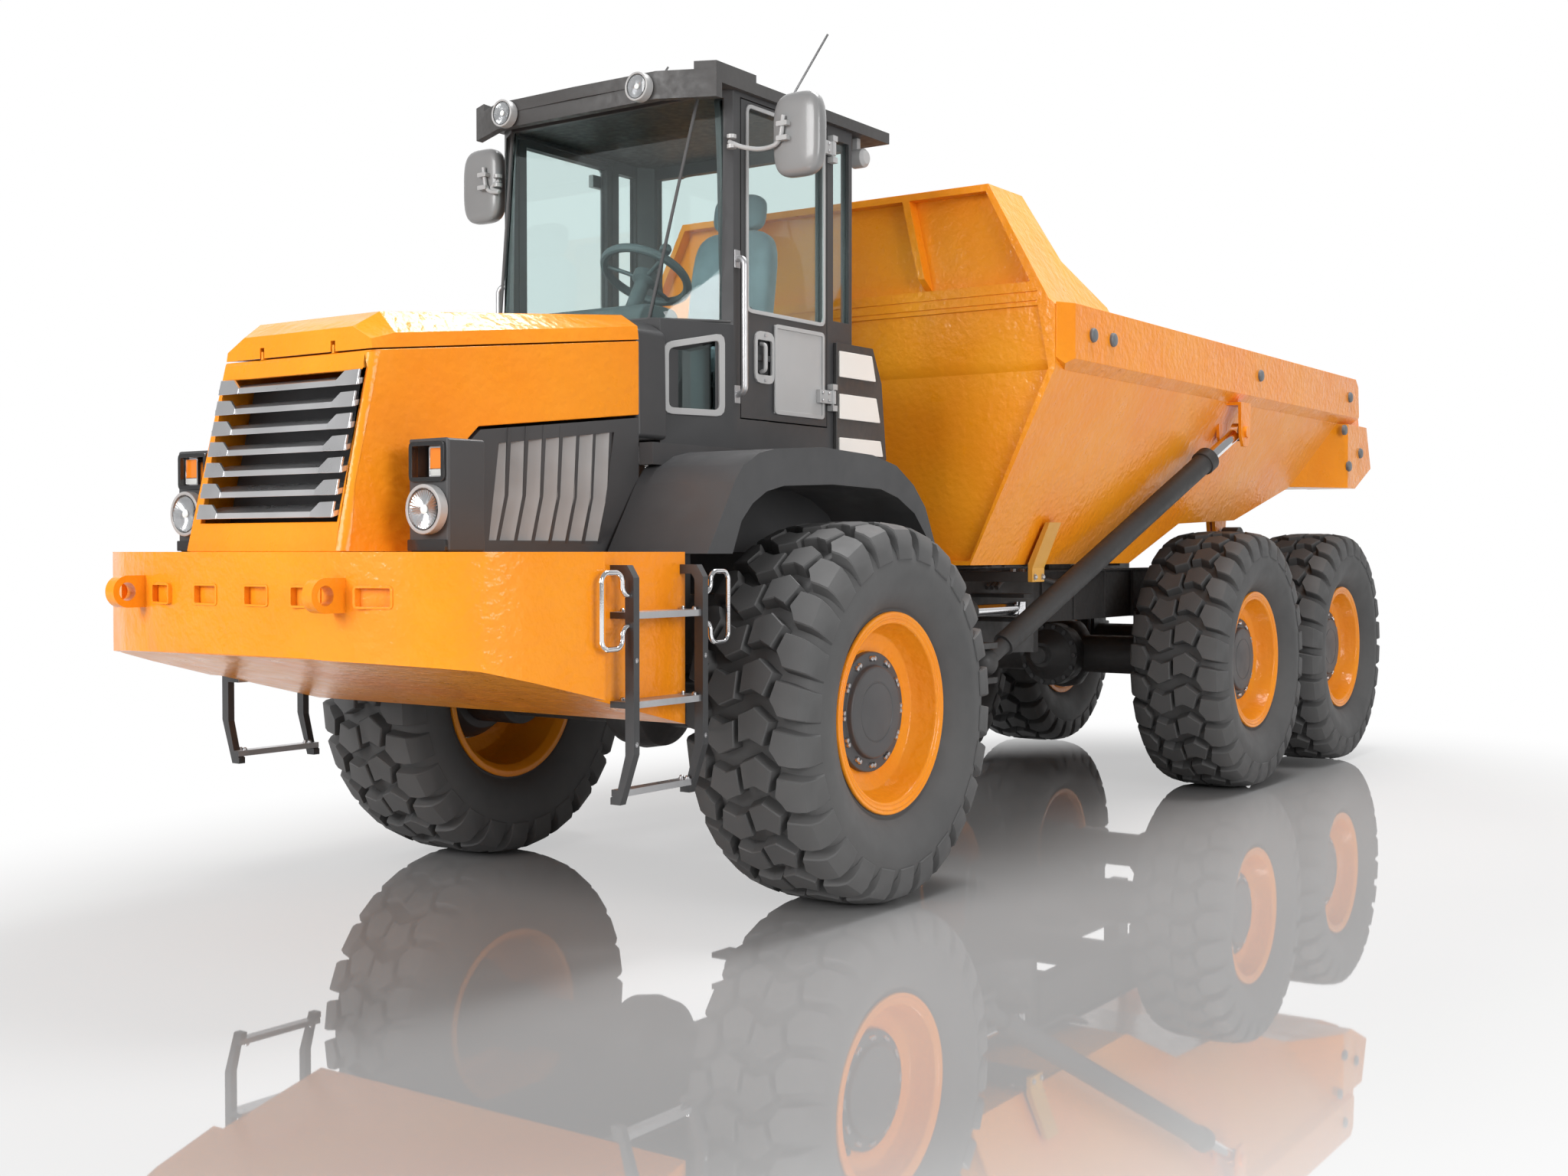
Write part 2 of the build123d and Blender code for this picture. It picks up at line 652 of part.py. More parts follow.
# Cab glass: windscreen, corner panes and rear windows, in the walls' own openings
glass_thickness = 8.0
with BuildPart() as glass_skin:
    cab_block(18, 20, 0)
with BuildPart() as glass_inner:
    cab_block(18 + glass_thickness, 20, 1)
with BuildPart() as panes:
    along(screen, -800, -262)
    for side in (-1, 1):
        along([(side * x, z) for x, z in quarter_pane], -640, -275)
        low, high = sorted((side * 500, side * 800))
        block(low, high, *side_pane)
    along(rear_pane, 700, 900)
with BuildPart() as cab_glass:
    add(glass_skin.part)
    add(glass_inner.part, mode=Mode.SUBTRACT)
    add(panes.part, mode=Mode.INTERSECT)
keep(cab_glass.part, "cab_glass")

# Doors, hinged at their rear edges on knuckles outside the wall
door_hinge_x = 692.0
door_hinge_y = 492.0
door_hinge_heights = (2200.0, 3345.0)
door_inner_x = 625.0
window = (-144.0, 440.0, 2540.0, 3405.0)
door_panel = (50.0, 440.0, 2100.0, 2490.0)
door_panel_depth = 5.0
handle_recess = (-92.0, 36.0, 2250.0, 2425.0)
handle_depth = 20.0
knuckle_radius = 16.0
for side_name, side in (("left", 1), ("right", -1)):
    low, high = sorted((side * door_inner_x, side * cab_side_x))
    with BuildPart() as door:
        block(low, high, door_front_y + seam_gap, door_rear_y - seam_gap, door_bottom + seam_gap,
              door_top - seam_gap)
        block(low, high, *window, Mode.SUBTRACT)
        block(*sorted((side * cab_side_x, side * (cab_side_x + door_panel_depth))), *door_panel)
        block(*sorted((side * (cab_side_x - handle_depth), side * (cab_side_x + 1))), *handle_recess,
              Mode.SUBTRACT)
        block(*sorted((side * (cab_side_x - 9), side * (cab_side_x - 1))), handle_recess[0], handle_recess[1],
              2325, 2350)
        for z in door_hinge_heights:
            block(*sorted((side * cab_side_x, side * (cab_side_x + 8))), 380, 460, z - 30, z + 30)
            block(*sorted((side * (cab_side_x + 8), side * (door_hinge_x + 6))), 380, door_hinge_y - 8,
                  z - 30, z + 30)
            post(side * door_hinge_x, door_hinge_y, z - 30, z + 30, knuckle_radius)
            post(side * door_hinge_x, door_hinge_y, z - 30, z + 30, 8 + pin_gap, Mode.SUBTRACT)
    keep(door.part, "door_" + side_name)
    with BuildPart() as door_glass:
        block(*sorted((side * 645, side * 652)), *window)
    keep(door_glass.part, "door_glass_" + side_name)

# Door hinge pins on the pillar
with BuildPart() as door_pins:
    for side in (-1, 1):
        for z in door_hinge_heights:
            post(side * door_hinge_x, door_hinge_y, z - 62, z + 62, 8)
            for z_low in (z - 62, z + 36):
                low, high = sorted((side * cab_side_x, side * (door_hinge_x + 10)))
                block(low, high, door_hinge_y - 10, door_hinge_y + 28, z_low, z_low + 26)
keep(door_pins.part, "door_pins")

# Seat and controls
with BuildPart() as seat:
    block(-170, 170, 220, 560, cab_floor + 40, 2280)
    block(-260, 260, 130, 620, 2280, 2420)
    across([(540, 2420), (640, 2420), (740, 3050), (650, 3050)], -240, 240)
    across([(665, 3050), (735, 3050), (750, 3220), (690, 3220)], -130, 130)
keep(seat.part, "seat")

steering_plane = Plane(origin=(0, front_axle_y - 20, 2760), x_dir=(1, 0, 0), z_dir=(0, 0.5, 0.866))
with BuildPart() as controls:
    across([(-520, cab_floor + 40), (-200, cab_floor + 40), (-120, 2400), (-150, 2560), (-420, 2560),
            (-480, 2400)], -330, 330)
    with BuildSketch(steering_plane.offset(-260)):
        Circle(35)
    extrude(amount=260)
    with BuildSketch(steering_plane.offset(-12)):
        Circle(210)
        Circle(180, mode=Mode.SUBTRACT)
    extrude(amount=24)
    with BuildSketch(steering_plane.offset(-8)):
        Rectangle(400, 40)
    extrude(amount=16)
keep(controls.part, "controls")

# Mirrors: rounded heads on bent arms from the front pillars
mirror_places = [(1, 1007.0), (-1, 807.0)]
mirror_y = -240.0
mirror_z = 3225.0
with BuildPart() as mirrors:
    for side, x in mirror_places:
        with BuildSketch(front_plane(mirror_y - 30)):
            with Locations((side * x, mirror_z)):
                RectangleRounded(240, 350, 70)
        extrude(amount=-60)
        low, high = sorted((side * cab_side_x, side * (x - 60)))
        cross_bar(low, high, mirror_y - 41, mirror_z + 1, 10)
        low, high = sorted((side * cab_side_x, side * (cab_side_x + 20)))
        block(low, high, mirror_y - 52, mirror_y + 6, mirror_z - 10, mirror_z + 12)
        block(*sorted((side * (x - 80), side * (x - 60))), mirror_y - 52, mirror_y - 28, mirror_z - 10,
              mirror_z + 60)
keep(mirrors.part, "mirrors")

# Grab rails on the front pillars, bent tubes on small foot plates
rail_tube_radius = 14.0
rail_foot = 6.0
rail_path = [(cab_side_x + rail_foot - 1, -226, 2742), (722, -238, 2742), (722, -238, 2163),
             (cab_side_x + rail_foot - 1, -226, 2163)]
rail_plate = (-245.0, -207.0)
with BuildPart() as handrails:
    bent_tube(rail_path, 34.0, rail_tube_radius)
    for x, y, z in (rail_path[0], rail_path[-1]):
        block(cab_side_x, cab_side_x + rail_foot, *rail_plate, z - 38, z + 38)
    mirror(about=Plane.YZ)
keep(handrails.part, "handrails")

# Louvre panels behind the cab
louvre_side = [(530, cab_floor), (530, 2460), (850, 2460), (930, 2300), (975, cab_floor)]
louvre_slats = [(555, 840, 2302, 2422), (565, 890, 2107, 2223), (555, 925, 1945, 2020)]
with BuildPart() as rear_louvres:
    across(louvre_side, cab_side_x, cab_side_x + 20)
    for y_low, y_high, z_low, z_high in louvre_slats:
        block(cab_side_x + 12, cab_side_x + 30, y_low, y_high, z_low, z_high, Mode.SUBTRACT)
    mirror(about=Plane.YZ)
    block(-cab_side_x, cab_side_x, 905, 925, cab_floor, 2300)
keep(rear_louvres.part, "rear_louvres")

# Rear frame: hitch, tapered nose, rails, cross members, clevises and hinge brackets
rail_inner = 400.0
rail_outer = 520.0
rail_bottom = 1070.0
rail_top = 1380.0
rail_end_y = 6390.0
hitch_tube_radius = 150.0
bogie_pivot_y = (mid_axle_y + rear_axle_y) / 2
bogie_pivot_z = 1100.0
bogie_pivot_radius = 70.0
nose_plan = [(180, 1650), (390, 2750), (rail_outer, 2900), (rail_outer, 2960)]
steer_eye_x = 600.0
steer_eye_y = 2540.0
outrigger_reach = 900.0
outrigger_y = (2070.0, 2210.0)
outrigger_bottom = 1325.0
tilt_foot = (800.0, 1770.0, 910.0)
tilt_head = (1360.0, 3935.0, 2208.0)
tilt_ball_radius = 75.0
tilt_plate_gap = tilt_ball_radius + pin_gap

with BuildPart() as rear_frame:
    post(0, articulation_y, hitch_bottom, hitch_top, 120)
    block(-100, 100, articulation_y, 1320, 980, 1220)
    with BuildSketch(front_plane(1290)):
        with Locations((0, 1100)):
            Circle(hitch_tube_radius)
    extrude(amount=-400)
    post(0, articulation_y, hitch_bottom, hitch_top, articulation_pin_radius + pin_gap, Mode.SUBTRACT)
    upward(mirrored(nose_plan), 900, rail_top)
    upward(mirrored([(140, 1690), (350, 2760), (rail_inner, 2900), (rail_inner, 3000)]), 930,
           rail_top - 30, Mode.SUBTRACT)
    for side in (-1, 1):
        low, high = sorted((side * rail_inner, side * rail_outer))
        block(low, high, 2900, rail_end_y, rail_bottom, rail_top)
        block(low, high, bed_hinge_y - 90, rail_end_y, rail_top, bed_hinge_z)
        cross_bar(low, high, bed_hinge_y, bed_hinge_z, 90)
        cross_bar(*sorted((side * 280, side * rail_outer)), bed_hinge_y, bed_hinge_z, bed_pin_radius)
        block(low, high, 3100, 3400, rail_top, 1413)
        for z in (1092, 1228):
            block(*sorted((side * 340, side * 670)), steer_eye_y - 60, steer_eye_y + 60, z, z + 22)
        for z in (tilt_foot[2] - tilt_plate_gap - 30, tilt_foot[2] + tilt_plate_gap):
            block(*sorted((side * 180, side * 870)), 1620, 1790, z, z + 30)
        block(*sorted((side * 180, side * 700)), 1640, 1780, tilt_foot[2] - tilt_plate_gap,
              tilt_foot[2] + tilt_plate_gap)
    for y_low, y_high in ((3350, 3450), (mid_axle_y - 52, mid_axle_y + 48),
                          (bed_hinge_y - 450, bed_hinge_y - 350), (rail_end_y - 70, rail_end_y)):
        block(-rail_inner, rail_inner, y_low, y_high, 1110, 1300)
    block(-outrigger_reach, outrigger_reach, *outrigger_y, outrigger_bottom, rail_top)
    cross_bar(-700, 700, bogie_pivot_y, bogie_pivot_z, bogie_pivot_radius)
keep(rear_frame.part, "rear_frame")

# Bogie axles with saddle blocks, and the walking beams that ride on them
beam_low_x = 545.0
beam_high_x = 690.0
saddle_top = 1000.0
for axle_name, y in axle_places[1:]:
    with BuildPart() as bogie_axle:
        axle(y)
        for side in (-1, 1):
            block(*sorted((side * beam_low_x, side * beam_high_x)), y - 110, y + 110, axle_z, saddle_top)
    keep(bogie_axle.part, axle_name + "_axle")

with BuildPart() as bogie_beams:
    across([(mid_axle_y - 110, saddle_top), (mid_axle_y - 110, 1110), (bogie_pivot_y - 160, 1200),
            (bogie_pivot_y + 160, 1200), (rear_axle_y + 110, 1110), (rear_axle_y + 110, saddle_top),
            (rear_axle_y - 110, saddle_top), (bogie_pivot_y + 160, 990), (bogie_pivot_y - 160, 990),
            (mid_axle_y + 110, saddle_top)], beam_low_x, beam_high_x)
    cross_bar(beam_low_x, beam_high_x, bogie_pivot_y, bogie_pivot_z, bogie_pivot_radius + pin_gap,
              Mode.SUBTRACT)
    mirror(about=Plane.YZ)
keep(bogie_beams.part, "bogie_beams")

guide_plate = 30.0
with BuildPart() as bed_guides:
    along([(outrigger_reach, outrigger_bottom), (outrigger_reach + guide_plate, outrigger_bottom),
           (outrigger_reach + guide_plate, 1400), (1030, 1643), (1000, 1643), (outrigger_reach, 1425)],
          *outrigger_y)
    mirror(about=Plane.YZ)
keep(bed_guides.part, "bed_guides")

# Bed: tub with rising floor, framed front wall, headboard with wings and tail boxes
bed_front_y = 1490.0
bed_wall = 28.0
bed_front_wall = 60.0
bed_floor_z = 1418.0
bed_floor_half = 870.0
bed_knuckle = (1336.0, 2384.0)
bed_rim_z = 2740.0
bed_rim_foot = 2700.0
bed_tail_y = 6640.0
bed_half = [(bed_floor_half, bed_floor_z), bed_knuckle, (bed_knuckle[0], bed_rim_foot), (1290.0, bed_rim_z)]
bed_floor = [(3460.0, bed_floor_z), (3950.0, 1660.0), (4865.0, 1694.0), (5617.0, 1932.0), (6360.0, 1943.0),
             (bed_tail_y, 2040.0)]
bed_tail = [(6477, 2423), (6400, bed_rim_z)]
wall_frame = [(867, 1439), (1301, 2388), (1238, 2720)]
wall_depth_low = 40.0
wall_depth_high = 12.0
wall_crease = (2384.0, 2440.0)
band_grooves = (2722.0, 2768.0)
head_foot = (1292.0, 2747.0)
head_top = (967.0, 3328.0)
head_depth = 90.0
head_recess = [(1201, 2819), (952, 3292)]
head_recess_depth = 68.0
rib_front = [(467, 3292), (508, 3292), (616, 2819), (578, 2819)]
wing_wall = 30.0
wing_side = [(1921, 2982), (1859, 3328)]
wing_foot_y = 2222.0
tail_box = [(1058, 5521), (1390, 6052), (1390, bed_tail_y), (1058, bed_tail_y)]
tail_box_side = [(5500, 1935), (6222, 1935), (6600, 2092), (6477, 2423), (5500, 2423)]
tail_box_z = (1935.0, bed_knuckle[1])

with BuildPart() as bed_room:
    along(mirrored([(bed_floor_half - 18, bed_floor_z), (bed_knuckle[0] - bed_wall, bed_knuckle[1]),
                    (bed_knuckle[0] - bed_wall, bed_rim_z + 60)]), bed_front_y + bed_front_wall, bed_tail_y + 60)
    across([(bed_front_y, bed_rim_z + 60), (bed_front_y, bed_floor_z + bed_wall)]
           + [(y, z + bed_wall) for y, z in bed_floor]
           + [(bed_tail_y + 60, bed_floor[-1][1] + bed_wall + 21), (bed_tail_y + 60, bed_rim_z + 60)],
           -1400, 1400, Mode.INTERSECT)

with BuildPart() as front_recess:
    along(mirrored(wall_frame), bed_front_y, bed_front_y + wall_depth_low)
    across([(bed_front_y, bed_floor_z), (bed_front_y + wall_depth_low, bed_floor_z),
            (bed_front_y + wall_depth_low, wall_crease[0]), (bed_front_y + wall_depth_high, wall_crease[1]),
            (bed_front_y + wall_depth_high, bed_rim_z), (bed_front_y, bed_rim_z)], -1400, 1400, Mode.INTERSECT)

with BuildPart() as head_ribs:
    along(rib_front, bed_front_y, bed_front_y + head_recess_depth)
    across([(bed_front_y, 2886), (bed_front_y, head_top[1]), (bed_front_y + head_recess_depth, head_top[1]),
            (bed_front_y + head_recess_depth, 2819)], 0, 700, Mode.INTERSECT)
    mirror(about=Plane.YZ)

with BuildPart() as head_wing:
    along([(head_foot[0] + 24, 2705), head_top, (head_top[0] - wing_wall, head_top[1]),
           (head_foot[0] + 24 - wing_wall, 2705)], bed_front_y, wing_foot_y)
    across([(bed_front_y, 2700), (wing_foot_y, 2700), (wing_foot_y, 2768)] + wing_side
           + [(bed_front_y, head_top[1])], 0, 1400, Mode.INTERSECT)
    mirror(about=Plane.YZ)

with BuildPart() as tail_boxes:
    upward(tail_box, *tail_box_z)
    across(tail_box_side, 0, 1400, Mode.INTERSECT)
    mirror(about=Plane.YZ)

with BuildPart() as bed_tub:
    along(mirrored(bed_half), bed_front_y, bed_tail_y)
    across([(bed_front_y, bed_floor_z)] + bed_floor + bed_tail + [(bed_front_y, bed_rim_z)], -1400, 1400,
           Mode.INTERSECT)
    add(tail_boxes.part)
    for side in (-1, 1):
        for x in (300, 345):
            across([(6210, bed_hinge_z), (6130, 2000), (6470, 2000), (6390, bed_hinge_z)],
                   *sorted((side * x, side * (x + 25))))
            cross_bar(*sorted((side * x, side * (x + 25))), bed_hinge_y, bed_hinge_z, 90)
    add(bed_room.part, mode=Mode.SUBTRACT)
    add(front_recess.part, mode=Mode.SUBTRACT)
    along(mirrored([(head_foot[0], bed_rim_foot), head_foot, head_top]), bed_front_y, bed_front_y + head_depth)
    add(head_wing.part)
    along(mirrored(head_recess), bed_front_y, bed_front_y + head_recess_depth, Mode.SUBTRACT)
    add(head_ribs.part)
    for z in band_grooves:
        block(-1240, 1240, bed_front_y, bed_front_y + 6, z - 3, z + 3, Mode.SUBTRACT)
    for side in (-1, 1):
        cross_bar(*sorted((side * 250, side * 390)), bed_hinge_y, bed_hinge_z, bed_pin_radius + pin_gap,
                  Mode.SUBTRACT)
keep(bed_tub.part, "bed_tub")

# Rails along the bed's rim, with a sloping underside and a facet at the front end
rail_depth = 54.0
rail_low = 2385.0
rail_high = 2712.0
rail_out = bed_knuckle[0] + rail_depth
rail_side = [(1600, rail_low), (6250, rail_low), (6310, 2450), (6290, 2660), (6230, rail_high),
             (1500, rail_high), (1500, 2440)]
with BuildPart() as side_rails:
    along([(bed_knuckle[0], rail_low), (rail_out, rail_low + rail_depth), (rail_out, rail_high),
           (bed_knuckle[0], rail_high)], rail_side[-1][0], rail_side[2][0])
    across(rail_side, bed_knuckle[0], rail_out, Mode.INTERSECT)
    upward([(bed_knuckle[0], 1490), (rail_out + 1, 1490), (rail_out + 1, 1612)], rail_low, rail_high,
           Mode.SUBTRACT)
    mirror(about=Plane.YZ)
keep(side_rails.part, "side_rails")

# Brackets that hold the tilt cylinders' heads: two plates under each rail
hoist_plates = (1268.0, 1406.0)
with BuildPart() as hoist_brackets:
    for x in hoist_plates:
        across([(3850, 2384), (3860, 2180), (3900, 2120), (3970, 2120), (4010, 2180), (4020, 2384)],
               x - 9, x + 9)
    cross_bar(hoist_plates[1] + 9, hoist_plates[1] + 24, tilt_head[1], tilt_head[2], 34)
    block(hoist_plates[0] - 9, hoist_plates[1] + 9, 3850, 4020, 2366, 2384)
    mirror(about=Plane.YZ)
    add(bed_tub.part, mode=Mode.SUBTRACT)
    add(bed_room.part, mode=Mode.SUBTRACT)
keep(hoist_brackets.part, "hoist_brackets")

# Tilt cylinders: ball foot, barrel, middle sleeve and chrome rod with its eye
tilt_barrel_radius = 62.0
tilt_sleeve_radius = 52.0
tilt_rod_radius = 37.5
tilt_barrel_start = 170.0
tilt_barrel_share = 0.867
tilt_eye_half = 22.0
for side_name, side in (("left", 1), ("right", -1)):
    foot = Vector(side * tilt_foot[0], front_axle_y + tilt_foot[1], tilt_foot[2])
    head = Vector(side * tilt_head[0], front_axle_y + tilt_head[1], tilt_head[2])
    rest_length = (head - foot).length
    barrel_end = rest_length * tilt_barrel_share
    line = Plane(origin=foot, x_dir=(side, 0, 0), z_dir=(head - foot))
    with BuildPart() as tilt_barrel:
        with Locations(line):
            Sphere(tilt_ball_radius)
        drum(line, 40, tilt_barrel_start, 45)
        drum(line, tilt_barrel_start, barrel_end - tilt_barrel_start, tilt_barrel_radius)
        drum(line, barrel_end - 60, 70, tilt_barrel_radius + 12)
        drum(line, tilt_barrel_start + 40, barrel_end, tilt_sleeve_radius + pin_gap, Mode.SUBTRACT)
    keep(tilt_barrel.part, "tilt_barrel_" + side_name)
    with BuildPart() as tilt_sleeve:
        drum(line, tilt_barrel_start + 45, barrel_end - tilt_barrel_start - 25, tilt_sleeve_radius)
        drum(line, tilt_barrel_start + 80, barrel_end, tilt_rod_radius + pin_gap, Mode.SUBTRACT)
    keep(tilt_sleeve.part, "tilt_sleeve_" + side_name)
    with BuildPart() as tilt_rod:
        drum(line, tilt_barrel_start + 85, rest_length - tilt_barrel_start - 125, tilt_rod_radius)
        cross_bar(side * tilt_head[0] - tilt_eye_half, side * tilt_head[0] + tilt_eye_half, tilt_head[1],
                  tilt_head[2], 55)
    keep(tilt_rod.part, "tilt_rod_" + side_name)

# Steering cylinders between the front frame and the rear frame's clevises
steer_barrel_radius = 70.0
steer_rod_radius = 33.5
steer_barrel_end = 1290.0
for side_name, side in (("left", 1), ("right", -1)):
    foot = Vector(side * steer_pivot_x, front_axle_y + steer_pivot_y, steer_z)
    head = Vector(side * steer_eye_x, front_axle_y + steer_eye_y, steer_z)
    rest_length = (head - foot).length
    line = Plane(origin=foot, x_dir=(0, 0, 1), z_dir=(head - foot))
    with BuildPart() as steer_barrel:
        post(side * steer_pivot_x, steer_pivot_y, steer_z - steer_boss_half, steer_z + steer_boss_half,
             steer_boss_radius)
        drum(line, 30, 90, 40)
        drum(line, 110, steer_barrel_end - 110, steer_barrel_radius)
        drum(line, 150, steer_barrel_end, steer_rod_radius + pin_gap, Mode.SUBTRACT)
        post(side * steer_pivot_x, steer_pivot_y, steer_z - 100, steer_z + 100, steer_pin_radius + pin_gap,
             Mode.SUBTRACT)
    keep(steer_barrel.part, "steer_barrel_" + side_name)
    with BuildPart() as steer_rod:
        drum(line, 700, rest_length - 740, steer_rod_radius)
        post(side * steer_eye_x, steer_eye_y, steer_z - 40, steer_z + 40, 50)
    keep(steer_rod.part, "steer_rod_" + side_name)
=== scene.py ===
import json
import math

import bmesh
import bpy
from mathutils import Matrix, Vector

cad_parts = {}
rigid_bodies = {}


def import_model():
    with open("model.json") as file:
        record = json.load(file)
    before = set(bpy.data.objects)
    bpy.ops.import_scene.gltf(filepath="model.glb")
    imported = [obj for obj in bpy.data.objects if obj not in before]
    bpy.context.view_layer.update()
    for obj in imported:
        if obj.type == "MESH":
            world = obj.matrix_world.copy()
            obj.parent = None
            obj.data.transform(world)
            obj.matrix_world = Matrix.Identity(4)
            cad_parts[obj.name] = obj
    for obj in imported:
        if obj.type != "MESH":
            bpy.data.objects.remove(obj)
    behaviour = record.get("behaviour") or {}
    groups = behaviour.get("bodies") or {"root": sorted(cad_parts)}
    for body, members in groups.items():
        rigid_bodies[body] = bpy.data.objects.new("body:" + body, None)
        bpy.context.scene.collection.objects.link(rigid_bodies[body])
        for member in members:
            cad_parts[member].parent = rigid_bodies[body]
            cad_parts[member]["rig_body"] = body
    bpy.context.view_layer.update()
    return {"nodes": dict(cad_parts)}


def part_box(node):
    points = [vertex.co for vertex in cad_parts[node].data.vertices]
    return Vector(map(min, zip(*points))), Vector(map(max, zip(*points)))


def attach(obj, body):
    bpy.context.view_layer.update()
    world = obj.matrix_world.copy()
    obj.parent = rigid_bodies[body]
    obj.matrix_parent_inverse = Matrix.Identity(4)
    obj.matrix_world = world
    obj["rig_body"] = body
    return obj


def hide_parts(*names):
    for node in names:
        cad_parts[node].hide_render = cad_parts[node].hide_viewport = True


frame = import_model()

# Lengths are metres. +X is the truck's left, +Y its rear, +Z up. Places along the truck are
# given from the front axle.
hub_low, hub_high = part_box("rim_front_left")
front_axle_y = (hub_low.y + hub_high.y) / 2
axle_z = (hub_low.z + hub_high.z) / 2
tyre_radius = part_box("tyre_front_left")[1].z - axle_z

# Materials


def start_material(name):
    """A new node material and its Principled shader."""
    mat = bpy.data.materials.new(name)
    mat.use_nodes = True
    return mat, mat.node_tree, mat.node_tree.nodes["Principled BSDF"]


def fill(tree, node, inputs):
    """Gives a node's inputs their values, or links them to other nodes' outputs."""
    for name, value in inputs.items():
        if isinstance(value, bpy.types.NodeSocket):
            tree.links.new(value, node.inputs[name])
        else:
            node.inputs[name].default_value = value


def add_node(tree, kind, inputs=(), **settings):
    """A new shader node of that kind."""
    node = tree.nodes.new("ShaderNode" + kind)
    for name, value in settings.items():
        setattr(node, name, value)
    fill(tree, node, dict(inputs))
    return node


def object_place(tree):
    """Places in object space, in metres."""
    return add_node(tree, "TexCoord").outputs["Object"]


def noise(tree, scale, detail):
    """Noise whose scale is per metre."""
    return add_node(tree, "TexNoise", {"Vector": object_place(tree), "Scale": scale,
                                       "Detail": detail}).outputs["Fac"]


def ramp(tree, value, low, high, first, second):
    """Value between low and high as a run from one colour to another."""
    node = add_node(tree, "ValToRGB", {"Fac": value})
    for stop, place, colour in zip(node.color_ramp.elements, (low, high), (first, second)):
        stop.position = place
        stop.color = (*colour, 1)
    return node.outputs["Color"]


def span(tree, value, low=0.0, high=1.0, start=0.3, end=0.7, run="LINEAR"):
    """Value between start and end mapped to low..high."""
    return add_node(tree, "MapRange", {"Value": value, "From Min": start, "From Max": end, "To Min": low,
                                       "To Max": high}, interpolation_type=run).outputs["Result"]


def bump(tree, height, strength, distance, under=None):
    """A bump of that height field, over another bump if one is given."""
    inputs = {"Height": height, "Strength": strength, "Distance": distance}
    if under is not None:
        inputs["Normal"] = under
    return add_node(tree, "Bump", inputs).outputs["Normal"]


def mixed(tree, share, first, second):
    """A surface that is first where share is 0 and second where it is 1."""
    return add_node(tree, "MixShader", {"Fac": share, 1: first, 2: second}).outputs["Shader"]


def cover(tree, surface):
    tree.links.new(surface, tree.nodes["Material Output"].inputs["Surface"])


def paint(name, base, shade, gloss, coat=0.0, peel=0.0, metallic=0.0, grain=220.0, wave=9.0,
          shine=0.5):
    """Coated surface: base to shade in slow clouds, roughness in the range gloss that changes with
    wave, a clear coat, peel (hammered waves of two sizes) and fine grain."""
    mat, tree, shader = start_material(name)
    normal = bump(tree, noise(tree, grain, 2), 0.25, 0.0006)
    if peel:
        normal = bump(tree, noise(tree, 26, 2), peel, 0.011, normal)
        normal = bump(tree, noise(tree, 7, 2), peel * 0.6, 0.01, normal)
        tree.links.new(normal, shader.inputs["Coat Normal"])
    fill(tree, shader, {
        "Base Color": ramp(tree, noise(tree, 1.6, 4), 0.35, 0.68, base, shade),
        "Roughness": span(tree, noise(tree, wave, 5), *gloss), "Metallic": metallic,
        "Specular IOR Level": shine, "Coat Weight": coat, "Coat Roughness": 0.09, "Normal": normal,
    })
    return mat


def glass(name, tint):
    """Clear pane that lets the lamps' light through."""
    mat, tree, shader = start_material(name)
    fill(tree, shader, {"Base Color": (*tint, 1), "Transmission Weight": 1.0, "IOR": 1.45,
                        "Roughness": span(tree, noise(tree, 3, 2), 0.0, 0.02)})
    path = add_node(tree, "LightPath")
    clear = add_node(tree, "BsdfTransparent", {"Color": (*tint, 1)})
    cover(tree, mixed(tree, path.outputs["Is Shadow Ray"], shader.outputs["BSDF"], clear.outputs["BSDF"]))
    return mat


def cloth(name, base, shade):
    """Woven cloth: two crossed fine waves over soft clouds."""
    mat, tree, shader = start_material(name)
    normal = None
    for direction in ("X", "Z"):
        weave = add_node(tree, "TexWave", {"Vector": object_place(tree), "Scale": 90},
                         bands_direction=direction)
        normal = bump(tree, weave.outputs["Fac"], 0.3, 0.001, normal)
    fill(tree, shader, {"Base Color": ramp(tree, noise(tree, 12, 4), 0.3, 0.7, base, shade),
                        "Roughness": 0.85, "Sheen Weight": 0.3, "Normal": normal})
    return mat


orange = paint("orange_paint", (0.86, 0.300, 0.012), (0.84, 0.250, 0.008), (0.26, 0.42),
               coat=0.30, peel=0.42, shine=0.2)
amber_plate = paint("yellow_paint", (0.70, 0.36, 0.05), (0.62, 0.29, 0.03), (0.4, 0.6), coat=0.2, peel=0.1)
charcoal = paint("charcoal_paint", (0.052, 0.052, 0.054), (0.040, 0.040, 0.042), (0.42, 0.58))
roof_grey = paint("roof_paint", (0.060, 0.058, 0.057), (0.036, 0.035, 0.035), (0.45, 0.65), wave=30)
gloss_black = paint("gloss_black", (0.020, 0.020, 0.021), (0.016, 0.016, 0.017), (0.12, 0.22), coat=0.5)
chassis = paint("chassis_paint", (0.050, 0.049, 0.049), (0.034, 0.033, 0.033), (0.45, 0.7), wave=25)
dark_steel = paint("dark_steel", (0.085, 0.085, 0.087), (0.060, 0.060, 0.062), (0.3, 0.5),
                   metallic=0.5, wave=30)
rubber = paint("tyre_rubber", (0.088, 0.087, 0.087), (0.070, 0.070, 0.071), (0.62, 0.8), grain=90)
hub_grey = paint("hub_paint", (0.075, 0.075, 0.078), (0.060, 0.060, 0.062), (0.4, 0.55))
fin_grey = paint("fin_plastic", (0.27, 0.27, 0.27), (0.23, 0.23, 0.23), (0.45, 0.6))
light_grey = paint("light_grey_paint", (0.42, 0.42, 0.42), (0.37, 0.37, 0.37), (0.4, 0.55))
ring_grey = paint("lamp_ring", (0.40, 0.40, 0.40), (0.34, 0.34, 0.34), (0.3, 0.4), coat=0.3)
